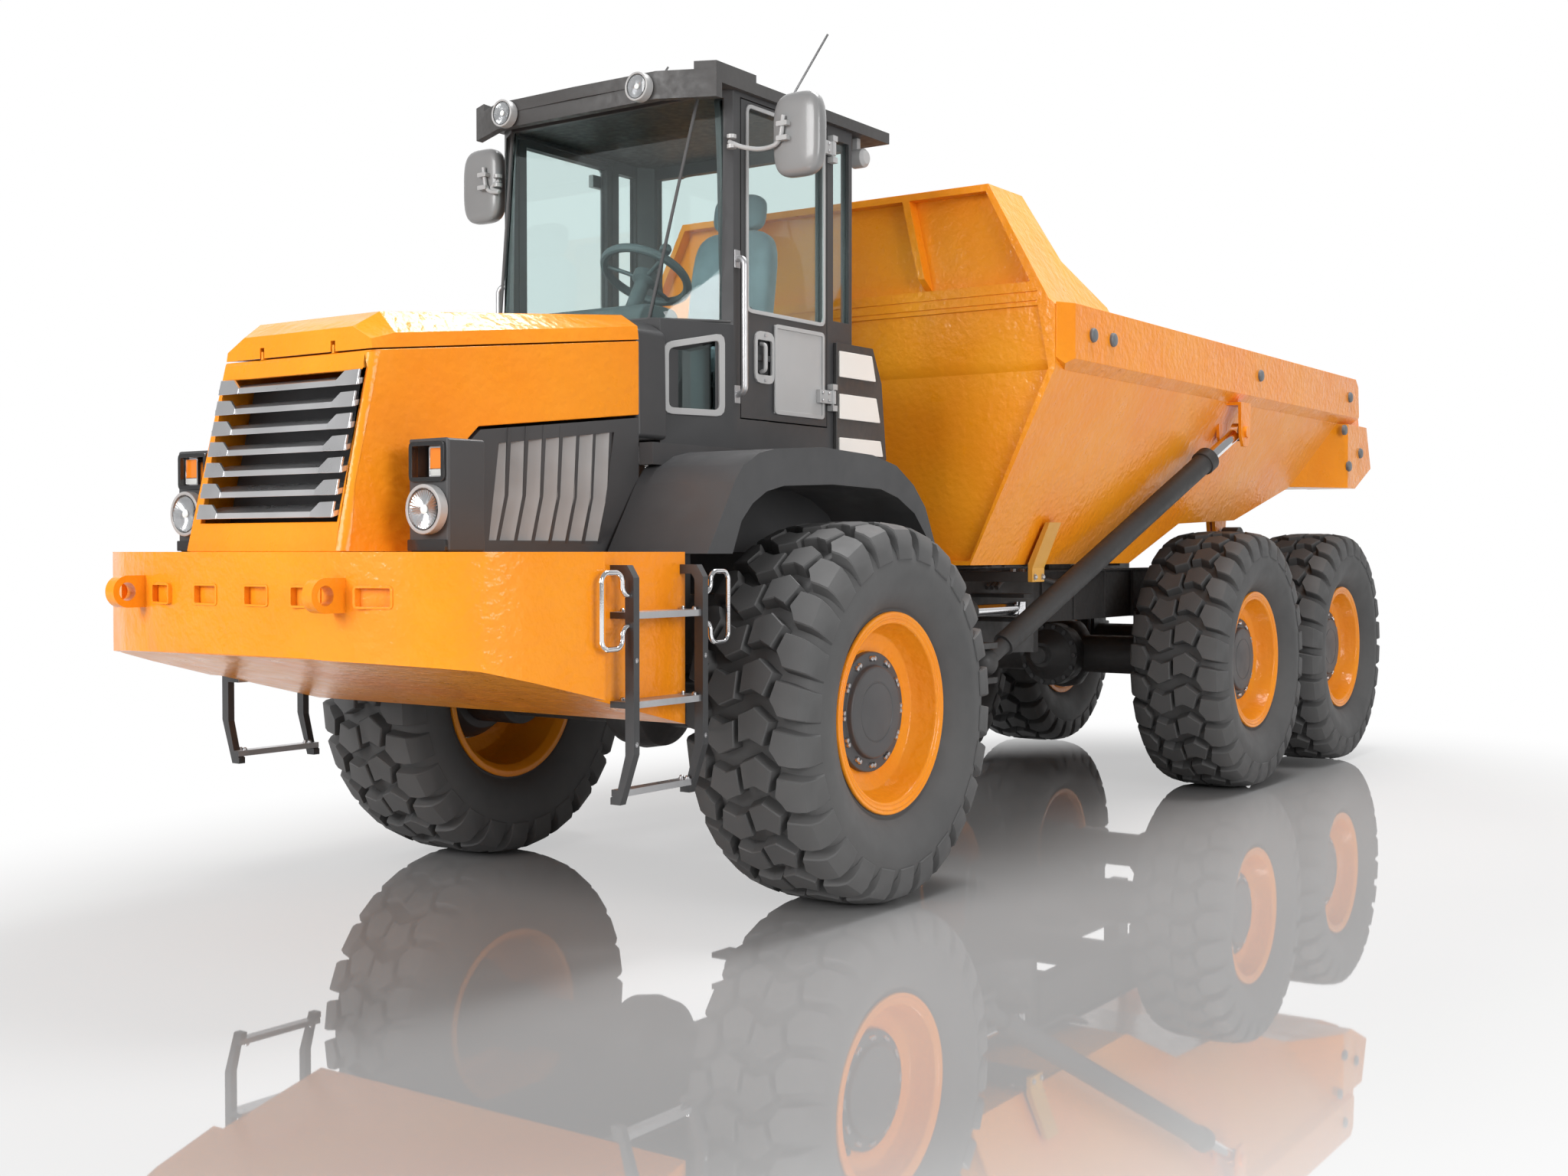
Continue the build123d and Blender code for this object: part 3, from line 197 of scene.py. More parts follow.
mirror_grey = paint("mirror_plastic", (0.22, 0.22, 0.22), (0.19, 0.19, 0.19), (0.3, 0.4), coat=0.3)
button_grey = paint("button_plastic", (0.15, 0.16, 0.17), (0.12, 0.13, 0.14), (0.4, 0.5))
slat_white = paint("slat_plastic", (0.80, 0.77, 0.73), (0.74, 0.71, 0.67), (0.4, 0.6))
steel = paint("brushed_steel", (0.62, 0.62, 0.63), (0.50, 0.50, 0.51), (0.22, 0.4), metallic=1.0, wave=60)
tread_metal = paint("tread_metal", (0.55, 0.55, 0.56), (0.45, 0.45, 0.46), (0.3, 0.45), metallic=0.8, wave=60)
chrome = paint("chrome", (0.86, 0.86, 0.87), (0.80, 0.80, 0.82), (0.04, 0.12), metallic=1.0)
blade_metal = paint("blade_metal", (0.78, 0.78, 0.79), (0.70, 0.70, 0.71), (0.26, 0.34),
                    metallic=0.95, wave=4)
reflector = paint("lamp_reflector", (0.42, 0.42, 0.43), (0.34, 0.34, 0.35), (0.10, 0.2), metallic=1.0)
seat_cloth = cloth("seat_cloth", (0.16, 0.21, 0.23), (0.12, 0.16, 0.18))
cab_plastic = paint("cab_plastic", (0.060, 0.078, 0.082), (0.05, 0.066, 0.070), (0.5, 0.7))
bulb_white = paint("bulb_glass", (0.60, 0.60, 0.58), (0.55, 0.55, 0.53), (0.1, 0.2), coat=0.5)
amber_lens = paint("amber_lens", (0.85, 0.25, 0.02), (0.75, 0.19, 0.01), (0.08, 0.18), coat=0.8)
tinted_glass = glass("cab_glass", (0.80, 0.89, 0.88))
lamp_glass = glass("lamp_glass", (0.97, 0.98, 0.98))

# Shapes

sharp_angle = math.radians(28)


def linked(name, data):
    """A new object in the scene."""
    new = bpy.data.objects.new(name, data)
    bpy.context.scene.collection.objects.link(new)
    return new


def new_piece(name, mesh, material, body, slot, *replaced, place=Matrix.Identity(4)):
    """A finished mesh as a piece of the scene, riding on its body."""
    piece = linked(name, mesh)
    piece.matrix_world = place
    mesh.materials.clear()
    for one in material if isinstance(material, tuple) else (material,):
        mesh.materials.append(one)
    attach(piece, body)
    if replaced:
        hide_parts(*replaced)
    return piece


def finish_mesh(name, bm, crease=32):
    """Turns a bmesh's faces outward and shades it smooth up to the crease angle."""
    bmesh.ops.recalc_face_normals(bm, faces=bm.faces)
    mesh = bpy.data.meshes.new(name)
    bm.to_mesh(mesh)
    bm.free()
    mesh.shade_smooth()
    mesh.set_sharp_from_angle(angle=math.radians(crease))
    return mesh


def soften(piece, width, segments=2, by_weight=False):
    """Rounds the piece's sharp edges, or those that carry a weight."""
    edge = piece.modifiers.new("rounded_edges", "BEVEL")
    edge.width = width
    edge.segments = segments
    edge.limit_method = "WEIGHT" if by_weight else "ANGLE"
    edge.angle_limit = sharp_angle
    edge.harden_normals = not by_weight
    if by_weight:
        shading = piece.modifiers.new("even_shading", "WEIGHTED_NORMAL")
        shading.keep_sharp = True
    return piece


def dressed(node, materials, width, slot, segments=2, pick=None, weigh=None):
    """A CAD node's own form with its flat faces merged and its edges rounded.

    pick gives the number of a face's material from its centre, and weigh gives the share of
    the rounding from a sharp edge's middle and length. Places are from the front axle."""
    source = frame["nodes"][node]
    bm = bmesh.new()
    bm.from_mesh(source.data)
    bmesh.ops.remove_doubles(bm, verts=bm.verts, dist=2e-5)
    bmesh.ops.dissolve_limit(bm, angle_limit=math.radians(0.3), verts=bm.verts, edges=bm.edges)
    shift = Vector((0, front_axle_y, 0))
    if weigh:
        layer = bm.edges.layers.float.new("bevel_weight_edge")
        for edge in bm.edges:
            if len(edge.link_faces) == 2 and edge.calc_face_angle() > sharp_angle:
                middle = (edge.verts[0].co + edge.verts[1].co) / 2 - shift
                edge[layer] = weigh(middle, edge.calc_length())
    mesh = finish_mesh(node + "_finish", bm)
    piece = new_piece(mesh.name, mesh, materials, source["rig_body"], slot, node)
    if pick:
        for face in mesh.polygons:
            face.material_index = pick(face.center - shift)
    return soften(piece, width, segments, bool(weigh))


def corner_curve(before, corner, after, radius, steps):
    """Points of the short curve that takes a corner's place, within 0.45 of either side."""
    start = corner + (before - corner).normalized() * min(radius, (before - corner).length * 0.45)
    end = corner + (after - corner).normalized() * min(radius, (after - corner).length * 0.45)
    shares = [step / steps for step in range(steps + 1)]
    return [start * (1 - t) ** 2 + corner * 2 * t * (1 - t) + end * t ** 2 for t in shares]


def rounded(points, radius, steps=4):
    """A line of points with its inner corners turned into short curves."""
    points = [Vector(p) for p in points]
    line = [points[0]]
    for before, corner, after in zip(points, points[1:], points[2:]):
        line += corner_curve(before, corner, after, radius, steps)
    return line + [points[-1]]


def bridge(bm, rings, close_line=False, close_ends=True):
    """Quads between rings of equal count, and faces over the open ends."""
    pairs = list(zip(rings, rings[1:]))
    if close_line:
        pairs.append((rings[-1], rings[0]))
    for first, second in pairs:
        count = len(first)
        for i in range(count):
            j = (i + 1) % count
            bm.faces.new((first[i], first[j], second[j], second[i]))
    if close_ends and not close_line:
        bm.faces.new(rings[0][::-1])
        bm.faces.new(rings[-1])


def turns(count):
    """The angles of that many equal steps round a circle."""
    return [math.tau * k / count for k in range(count)]


def lathe(bm, section, segments=96, closed=False, place=Matrix.Identity(4)):
    """Turns a section of (distance along X, radius) about the X axis."""
    rings = []
    for x, radius in section:
        rings.append([bm.verts.new(place @ Vector((x, radius * math.cos(a), radius * math.sin(a))))
                      for a in turns(segments)])
    bridge(bm, rings, close_line=closed)


# Tyres: a turned carcass with two staggered rows of pentagon blocks and shoulder blocks

pitches = 26
# Outside of the carcass from its middle to its bead: (across, radius)
carcass = [(0, 0.752), (0.16, 0.748), (0.225, 0.738), (0.262, 0.716), (0.284, 0.682), (0.295, 0.645),
           (0.299, 0.605), (0.296, 0.57), (0.279, 0.515), (0.255, 0.475), (0.232, 0.452), (0.217, 0.440),
           (0.2155, 0.4325), (0.2155, 0.397)]
# Fall of the tread's top towards the shoulder: (across, drop)
crown = [(0.0, 0.0), (0.10, 0.0012), (0.155, 0.0035), (0.20, 0.0085), (0.245, 0.0185), (0.30, 0.0400)]
# A middle block's outline: (across, along the tread)
pentagon = [(0.011, -0.064), (0.011, 0.046), (0.084, 0.077), (0.157, 0.022), (0.122, -0.072), (0.064, -0.048)]
# Stations of a shoulder block: top and foot, each (across, radius), low and high edge along the tread
shoulder = [
    ((0.157, 0.8040), (0.157, 0.745), -0.020, -0.004),
    ((0.176, 0.8015), (0.171, 0.744), -0.048, 0.066),
    ((0.192, 0.7990), (0.186, 0.743), -0.079, 0.063),
    ((0.236, 0.7900), (0.226, 0.735), -0.088, 0.055),
    ((0.268, 0.7740), (0.250, 0.722), -0.093, 0.046),
    ((0.288, 0.7420), (0.268, 0.708), -0.097, 0.038),
    ((0.297, 0.7000), (0.284, 0.684), -0.100, 0.031),
    ((0.299, 0.6520), (0.295, 0.648), -0.101, 0.026),
]
shoulder_shift = -0.072
mirror_shift = -0.043
block_edge = 0.005
block_draft = 0.008
block_foot = 0.745
shoulder_chamfer = 0.12


def tread_radius(across):
    """Radius of the tread's top at a distance across it."""
    for (a, drop_a), (b, drop_b) in zip(crown, crown[1:]):
        if abs(across) <= b:
            return tyre_radius - drop_a - (drop_b - drop_a) * (abs(across) - a) / (b - a)
    return tyre_radius - crown[-1][1]


def tread_point(bm, across, radius, along_tread, turn):
    """A vertex of the tread in the pitch at that turn."""
    angle = turn + along_tread / tyre_radius
    return bm.verts.new((across, -radius * math.cos(angle), radius * math.sin(angle)))


def tread_pentagon(bm, outline, turn):
    """A middle block with a drafted foot and a small chamfer round its top."""
    middle = sum((Vector(p) for p in outline), Vector((0, 0))) / len(outline)
    rings = []
    for grow, depth in ((block_draft, None), (0.0, block_edge), (-block_edge, 0.0)):
        ring = []
        for p in outline:
            out = Vector(p) - middle
            u, v = middle + out * (1 + grow / out.length)
            radius = block_foot if depth is None else tread_radius(u) - depth
            ring.append(tread_point(bm, u, radius, v, turn))
        rings.append(ring)
    bridge(bm, rings)


def tread_shoulder(bm, flip, turn):
    """A shoulder block that runs over the tread's edge and down the side wall."""
    rings = []
    for (top_u, top_r), (foot_u, foot_r), low, high in shoulder:
        edge_u = top_u + (foot_u - top_u) * shoulder_chamfer
        edge_r = top_r + (foot_r - top_r) * shoulder_chamfer
        low, high = low + shoulder_shift, high + shoulder_shift
        inset = min(block_edge, (high - low) * 0.3)
        ring = []
        for u, r, v in (
            (foot_u, foot_r, low - block_draft), (edge_u, edge_r, low), (top_u, top_r, low + inset),
            (top_u, top_r, high - inset), (edge_u, edge_r, high), (foot_u, foot_r, high + block_draft),
        ):
            if flip:
                u, v = -u, mirror_shift - v
            ring.append(tread_point(bm, u, r, v, turn))
        rings.append(ring)
    bridge(bm, rings)


def tyre_mesh():
    bm = bmesh.new()
    half = rounded([(x, r) for x, r in carcass], 0.03, 3)
    section = [(-p[0], p[1]) for p in reversed(half[1:])] + [(p[0], p[1]) for p in half]
    lathe(bm, section, 4 * pitches, closed=True)
    for turn in turns(pitches):
        tread_pentagon(bm, pentagon, turn)
        tread_pentagon(bm, [(-u, mirror_shift - v) for u, v in pentagon], turn)
        tread_shoulder(bm, False, turn)
        tread_shoulder(bm, True, turn)
    return finish_mesh("tyre_tread", bm, 24)


# Rims, hubs and their bolts: sections of (distance outward, radius)

rim_section = [
    (0.098, 0.256), (0.104, 0.30), (0.118, 0.335), (0.150, 0.352), (0.205, 0.372), (0.222, 0.377),
    (0.228, 0.386), (0.2235, 0.392), (0.2295, 0.398), (0.2335, 0.406), (0.2290, 0.411), (0.2325, 0.417),
    (0.2335, 0.425), (0.227, 0.4285), (0.2165, 0.4285), (0.2150, 0.396), (-0.215, 0.396), (-0.2165, 0.4285),
    (-0.2335, 0.4285), (-0.2335, 0.40), (-0.20, 0.370), (0.0, 0.345), (0.06, 0.33), (0.078, 0.256),
]
hub_section = [
    (-0.028, 0.10), (-0.028, 0.20), (0.05, 0.245), (0.09, 0.2555), (0.121, 0.2555), (0.1245, 0.252),
    (0.1245, 0.199), (0.146, 0.196), (0.1515, 0.189), (0.1515, 0.130), (0.1490, 0.1275), (0.1490, 0.1245),
    (0.1515, 0.122), (0.1515, 0.002),
]
hub_face = 0.1245
bolt_pairs = 12
bolt_offset = 2.9
bolt_circle = 0.2265
bolt_radius = 0.0115


def rim_mesh():
    bm = bmesh.new()
    lathe(bm, rounded(rim_section, 0.006, 3), 128, closed=True)
    return finish_mesh("rim_barrel", bm, 40)


def hub_mesh():
    bm = bmesh.new()
    lathe(bm, rounded(hub_section, 0.004, 3), 96)
    valve = Matrix.Translation((0.108, -0.20, 0.205))
    lathe(bm, [(-0.01, 0.016), (0.030, 0.016), (0.034, 0.013), (0.034, 0.002)], 20, place=valve)
    return finish_mesh("hub_cap", bm, 30)


def bolts_mesh():
    """The hub's bolts, in pairs on one circle."""
    bm = bmesh.new()
    for pair in range(bolt_pairs):
        for offset in (-bolt_offset, bolt_offset):
            a = math.radians(360 / bolt_pairs * pair + offset)
            place = Matrix.Translation((hub_face, bolt_circle * math.cos(a), bolt_circle * math.sin(a)))
            lathe(bm, [(-0.004, bolt_radius), (0.009, bolt_radius), (0.0125, bolt_radius * 0.8),
                       (0.014, 0.002)], 16, place=place)
    return finish_mesh("hub_bolts", bm, 40)


tyre_data, rim_data, hub_data, bolt_data = tyre_mesh(), rim_mesh(), hub_mesh(), bolts_mesh()
sides = (("left", 1), ("right", -1))
for axle_name in ("front", "mid", "rear"):
    for side_name, side in sides:
        wheel = axle_name + "_" + side_name
        low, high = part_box("rim_" + wheel)
        place = Matrix.Translation((low + high) / 2) @ Matrix.Rotation(0 if side > 0 else math.pi, 4, "Z")
        for kind, data, material, slot, *replaced in (
            ("tyre_dressed_", tyre_data, rubber, "tyre_rubber", "tyre_" + wheel),
            ("rim_dressed_", rim_data, orange, "orange_paint", "rim_" + wheel),
            ("hub_", hub_data, hub_grey, "dark_paint"),
            ("hub_bolts_", bolt_data, steel, "bright_metal"),
        ):
            new_piece(kind + wheel, data, material, "wheel_" + wheel, slot, *replaced, place=place)

# Small parts are drawn with places from the front axle and shifted by its place when they are done

turn_up = Matrix(((0, 1, 0, 0), (0, 0, 1, 0), (1, 0, 0, 0), (0, 0, 0, 1)))


def from_side(x, side=1):
    """Outlines run (rearward, up) and are drawn outward from the plane at x on that side."""
    return Matrix(((0, 0, side, side * x), (1, 0, 0, 0), (0, 1, 0, 0), (0, 0, 0, 1)))


def from_front(y, side=1):
    """Outlines run (outward, up) and are drawn forward from the plane at y."""
    return Matrix(((side, 0, 0, 0), (0, 0, -1, y), (0, 1, 0, 0), (0, 0, 0, 1)))


def from_top(z, side=1):
    """Outlines run (outward, rearward) and are drawn up from the plane at z."""
    return Matrix(((side, 0, 0, 0), (0, 1, 0, 0), (0, 0, 1, z), (0, 0, 0, 1)))


def loop(points, radius, steps=3):
    """A closed outline with each corner turned into a short curve."""
    points = [Vector(p) for p in points]
    line = []
    for i, corner in enumerate(points):
        line += corner_curve(points[i - 1], corner, points[(i + 1) % len(points)], radius, steps)
    return line


def rect(u0, u1, v0, v1, radius, grow=0.0):
    """A rectangle with rounded corners, made larger by grow."""
    u0, u1, v0, v1 = u0 - grow, u1 + grow, v0 - grow, v1 + grow
    return loop([(u0, v0), (u1, v0), (u1, v1), (u0, v1)], radius + grow)


def plate(bm, outline, place, low, high):
    """An outline carried from one height to another."""
    bridge(bm, [[bm.verts.new(place @ Vector((*p, w))) for p in outline] for w in (low, high)])


def bead(bm, outer, inner, place, low, high):
    """A raised border between two outlines of equal count."""
    rings = [[bm.verts.new(place @ Vector((*p, w))) for p in line]
             for line, w in ((outer, low), (outer, high), (inner, high), (inner, low))]
    bridge(bm, rings, close_line=True)


def border(bm, opening, outer, inner, place, low, high):
    """A bead round a rectangle, between two amounts that it is made larger by."""
    bead(bm, rect(*opening, outer), rect(*opening, inner), place, low, high)


def tube(bm, points, radius, bend=0.03, segments=12, steps=5):
    """A round bar along a bent line."""
    line = rounded(points, bend, steps) if len(points) > 2 else [Vector(p) for p in points]
    heading = (line[1] - line[0]).normalized()
    across = heading.orthogonal().normalized()
    rings = []
    for i, centre in enumerate(line):
        ahead = (line[min(i + 1, len(line) - 1)] - line[max(i - 1, 0)]).normalized()
        across = (across - ahead * across.dot(ahead)).normalized()
        other = ahead.cross(across)
        rings.append([bm.verts.new(centre + (across * math.cos(a) + other * math.sin(a)) * radius)
                      for a in turns(segments)])
    bridge(bm, rings)


def knob(bm, place, u, v, section, segments=16):
    """A turned form of (height, radius) standing at (u, v)."""
    lathe(bm, section, segments, place=place @ Matrix.Translation((u, v, 0)) @ turn_up)


def bolt(bm, place, u, v, radius, height):
    """A domed bolt head on its washer."""
    knob(bm, place, u, v, [(-0.003, radius * 1.3), (height * 0.25, radius * 1.3), (height * 0.26, radius),
                           (height * 0.7, radius), (height, radius * 0.55), (height, 0.0005)], 12)


def hex_bolt(bm, place, u, v, radius, height):
    knob(bm, place, u, v, [(-0.003, radius), (height, radius), (height, 0.0005)], 6)


def pillow(bm, centre, half, tilt=0.0, square=4.0, steps=10, pinch=0.0):
    """A crowned closed form: a cube's grid drawn onto a rounded solid, its sides pulled in by pinch."""
    turn = Matrix.Rotation(tilt, 4, "X")
    start = len(bm.verts)
    corners = {}
    for axis in range(3):
        for face in (-1, 1):
            grid = []
            for i in range(steps + 1):
                row = []
                for j in range(steps + 1):
                    p = [0.0, 0.0, 0.0]
                    p[axis] = face
                    p[(axis + 1) % 3] = math.sin(math.pi / 2 * (2 * i / steps - 1))
                    p[(axis + 2) % 3] = math.sin(math.pi / 2 * (2 * j / steps - 1))
                    size = sum(abs(c) ** square for c in p) ** (1 / square)
                    p = [c / size for c in p]
                    pull = 1 - pinch * (1 - abs(p[0]) ** 2) * (1 - abs(p[2]) ** 2) * abs(p[1]) ** 4
                    key = tuple(round(c, 5) for c in p)
                    if key not in corners:
                        place = Vector((p[0] * half[0], p[1] * half[1] * pull, p[2] * half[2]))
                        corners[key] = bm.verts.new(Vector(centre) + turn @ place)
                    row.append(corners[key])
                grid.append(row)
            for i in range(steps):
                for j in range(steps):
                    quad = (grid[i][j], grid[i + 1][j], grid[i + 1][j + 1], grid[i][j + 1])
                    if len(set(quad)) > 2:
                        bm.faces.new(dict.fromkeys(quad))


def drawn(name, bm, material, body, slot, width=0.0, crease=32, segments=2, replaced=()):
    """A drawing in places from the front axle, finished as a piece on its body."""
    bmesh.ops.translate(bm, vec=(0, front_axle_y, 0), verts=bm.verts)
    piece = new_piece(name, finish_mesh(name, bm, crease), material, body, slot, *replaced)
    return soften(piece, width, segments) if width else piece


# Choices of a face's material, and of an edge's share of the rounding, by place


hood_foot, hood_height = 1.487, 0.913


def vent_face(y, z):
    """Half width of the hood's side at that place."""
    low = 0.430 + (y + 2.197) * 0.1217
    high = 0.399 + (y + 1.988) * 0.1692
    return low + (high - low) * (z - hood_foot) / hood_height


step_heights = (1.260, 0.940, 0.622)
step_half = 0.012


def ladder_pick(centre):
    """Stiles 0, steps between them 1, grab loops before and behind them 2."""
    if centre.y < -1.4955 or centre.y > -1.0595:
        return 2
    on_step = any(abs(centre.z - z) < step_half + 0.0005 for z in step_heights)
    return 1 if on_step and -1.464 < centre.y < -1.091 else 0


def door_pick(centre):
    """Hinges and panel, which stand out from the door's face, 1."""
    return 1 if abs(centre.x) > 0.6712 else 0


def grille_pick(centre):
    """Blades, in front of the sloping back panel, 1."""
    return 1 if centre.y < -2.080 + (centre.z - hood_foot) * 0.2322 else 0


def lamp_pick(centre):
    """Indicators, above the headlamps, 1."""
    return 1 if 1.74 < centre.z < 1.86 else 0


# Seams between the bumper's pieces: distance out and place along the truck
seam_x, seam_y = 0.900, -1.900
seam_share = 0.16


def bumper_weight(middle, length):
    """Full rounding on the long edges in front, little where the bumper's pieces meet, else none."""
    if abs(abs(middle.x) - seam_x) < 0.002 or abs(middle.y - seam_y) < 0.002:
        return seam_share
    return 1.0 if length > 0.12 and middle.y < -1.2 else 0.0


def lid_weight(middle, length):
    """Rounds the long upper edges and the front fold."""
    upper = length > 0.15 and middle.z > 2.30
    front_fold = middle.z > 2.24 and abs(middle.y + 2.03) < 0.02
    return 1.0 if upper or front_fold else 0.0


def hood_weight(middle, length):
    """Rounds the front corners and leaves the seams and the inside crisp."""
    outside = abs(middle.x) > vent_face(middle.y, middle.z) - 0.012
    return 1.0 if outside and length > 0.4 and middle.y < -1.9 else 0.12


def bed_weight(middle, length):
    """Long edges take the full rounding, short ones less."""
    return 1.0 if length > 0.2 else 0.3


# The bumper's front face in plan, from its middle flat round the left corner
bumper_plan = [(0.400, -2.330), (0.680, -2.280), (0.900, -2.190), (1.000, -2.080), (1.060, -1.900),
               (1.100, -1.600)]
bumper_line = [Vector((-x, y)) for x, y in reversed(bumper_plan)] + [Vector(p) for p in bumper_plan]
skin_rear = -1.62
skin_gap = 0.05


def bumper_heading(x, y):
    """Way out of the bumper's skin at a place, turning evenly along its plan, and the gap to it."""
    here = Vector((x, y))
    run = 0.0
    nearest = None
    marks = []
    for a, b in zip(bumper_line, bumper_line[1:]):
        length = (b - a).length
        along = max(0.0, min(length, (here - a).dot(b - a) / length))
        gap = (here - a - (b - a) / length * along).length
        if nearest is None or gap < nearest[0]:
            nearest = (gap, run + along)
        marks.append((run + length / 2, math.atan2(-(b - a).y, (b - a).x)))
        run += length
    gap, place = nearest
    angle = marks[0][1] if place < marks[0][0] else marks[-1][1]
    for (s0, a0), (s1, a1) in zip(marks, marks[1:]):
        if s0 <= place <= s1:
            angle = a0 + (a1 - a0) * (place - s0) / (s1 - s0)
    return Vector((-math.sin(angle), -math.cos(angle))), gap


def evened(piece):
    """Applies the piece's modifiers and turns its skin's shading evenly along the bumper's plan."""
    mesh = bpy.data.meshes.new_from_object(piece.evaluated_get(bpy.context.evaluated_depsgraph_get()))
    piece.modifiers.clear()
    piece.data = mesh
    normals = []
    for corner, corner_normal in zip(mesh.loops, mesh.corner_normals):
        normal = Vector(corner_normal.vector)
        place = mesh.vertices[corner.vertex_index].co
        flat = Vector((normal.x, normal.y))
        if flat.length > 0.3 and place.y - front_axle_y < skin_rear:
            heading, gap = bumper_heading(place.x, place.y - front_axle_y)
            if gap < skin_gap and flat.normalized().dot(heading) > 0.9:
                normal = Vector((*(heading * flat.length), normal.z))
        normals.append(normal.normalized())
    mesh.normals_split_custom_set(normals)
    mesh.name = piece.name


# CAD nodes with rounded edges: nodes, material, edge width, slot, then segments, pick and weigh
finishes = [
    ("bumper belly_plate skirt_left skirt_right", orange, 0.030, "orange_paint", 5, None, bumper_weight),
    ("hood_body", orange, 0.034, "orange_paint", 5, None, hood_weight),
    ("hood_lid", orange, 0.050, "orange_paint", 6, None, lid_weight),
    ("bed_tub", orange, 0.010, "orange_paint", 3, None, bed_weight),
    ("side_rails", orange, 0.012, "orange_paint", 3),
    ("hoist_brackets", orange, 0.004, "orange_paint"),
    ("bed_guides", amber_plate, 0.004, "orange_paint"),
    ("front_frame rear_frame", chassis, 0.005, "dark_paint"),
    ("front_axle mid_axle rear_axle bogie_beams", chassis, 0.008, "dark_paint"),
    ("engine_block", chassis, 0.010, "dark_paint"),
    ("ladders", (dark_steel, tread_metal, chrome), 0.003, "dark_paint", 2, ladder_pick),
    ("grille", (charcoal, blade_metal), 0.002, "bright_metal", 2, grille_pick),
    ("side_vents", charcoal, 0.004, "dark_plastic"),
    ("cowl", charcoal, 0.020, "dark_plastic", 4),
    ("lamp_boxes", charcoal, 0.012, "dark_plastic", 3),
    ("lamps", (ring_grey, amber_lens), 0.004, "lamp_lens", 3, lamp_pick),
    ("fenders", charcoal, 0.024, "dark_plastic", 4),
    ("cab_shell", charcoal, 0.005, "dark_paint"),
    ("cab_roof", roof_grey, 0.006, "dark_paint"),
    ("roof_aerials", charcoal, 0.001, "dark_paint", 1),
    ("door_left door_right", (charcoal, light_grey), 0.004, "dark_paint", 2, door_pick),
    ("door_pins", light_grey, 0.003, "dark_paint"),
    ("handrails", tread_metal, 0.002, "chrome_rod"),
    ("rear_louvres", roof_grey, 0.004, "dark_plastic"),
    ("tilt_barrel_left tilt_barrel_right steer_barrel_left steer_barrel_right", chassis, 0.004, "dark_paint"),
]
for names, *choices in finishes:
    for node in names.split():
        piece = dressed(node, *choices)
        if node == "hood_body":
            piece.modifiers["rounded_edges"].use_clamp_overlap = False
        if node in ("bumper", "skirt_left", "skirt_right"):
            evened(piece)

# CAD nodes that keep their form and get a better material
plain_finishes = [
    ("cab_glass door_glass_left door_glass_right", tinted_glass),
    ("tilt_sleeve_left tilt_sleeve_right", steel),
    ("tilt_rod_left tilt_rod_right steer_rod_left steer_rod_right", chrome),
]
for names, material in plain_finishes:
    for node in names.split():
        mesh = frame["nodes"][node].data
        mesh.materials.clear()
        mesh.materials.append(material)

# Doors: window bead, panel border, handle and hinge bolts

cab_side, hinge_face = 0.670, 0.698

for side_name, side in sides:
    face = from_side(cab_side, side)
    bm = bmesh.new()
    border(bm, (-0.144, 0.440, 2.540, 3.405, 0.022), 0.017, 0.0, face, -0.004, 0.006)
    border(bm, (0.050, 0.440, 2.100, 2.490, 0.02), 0.004, -0.014, face, 0.003, 0.011)
    bead(bm, rect(-0.100, 0.048, 2.224, 2.452, 0.045), rect(-0.082, 0.028, 2.262, 2.414, 0.012),
         face, -0.003, 0.008)
    tube(bm, [(side * 0.655, -0.030, 2.276), (side * 0.682, -0.030, 2.284), (side * 0.682, -0.030, 2.392),
              (side * 0.655, -0.030, 2.400)], 0.010, 0.012)
    drawn("door_trim_" + side_name, bm, light_grey, "door_" + side_name, "dark_paint", 0.003)
    bm = bmesh.new()
    for v in (2.240, 2.436):
        bolt(bm, face @ Matrix.Translation((0, 0, 0.008)), -0.026, v, 0.007, 0.006)
    for z in (2.200, 3.345):
        for u in (0.400, 0.452):
            for lift in (-0.017, 0.017):
                bolt(bm, from_side(hinge_face, side), u, z + lift, 0.006, 0.007)
    drawn("door_bolts_" + side_name, bm, tread_metal, "door_" + side_name, "bright_metal")

# Cab trim: corner window rings, screen gaskets, slats and the lamps under the roof's rear corners

corner = Vector((0.550, -0.600))
along_face = (Vector((cab_side, -0.255)) - corner).normalized()
out_of_face = Vector((along_face.y, -along_face.x))


def corner_face(side):
    """Outlines run (along the cab's lower corner face, up)."""
    return Matrix(((side * along_face.x, 0, side * out_of_face.x, side * corner.x),
                   (along_face.y, 0, out_of_face.y, corner.y), (0, 1, 0, 0), (0, 0, 0, 1)))


grey_trim, dark_trim, slats = bmesh.new(), bmesh.new(), bmesh.new()
ring_outer = [(0.010, 2.062), (0.320, 2.062), (0.320, 2.420), (0.010, 2.358)]
ring_inner = [(0.038, 2.090), (0.292, 2.090), (0.292, 2.386), (0.038, 2.336)]
corner_lamp = [(-0.03, 0.045), (0.03, 0.045), (0.045, 0.030), (0.047, 0.001)]
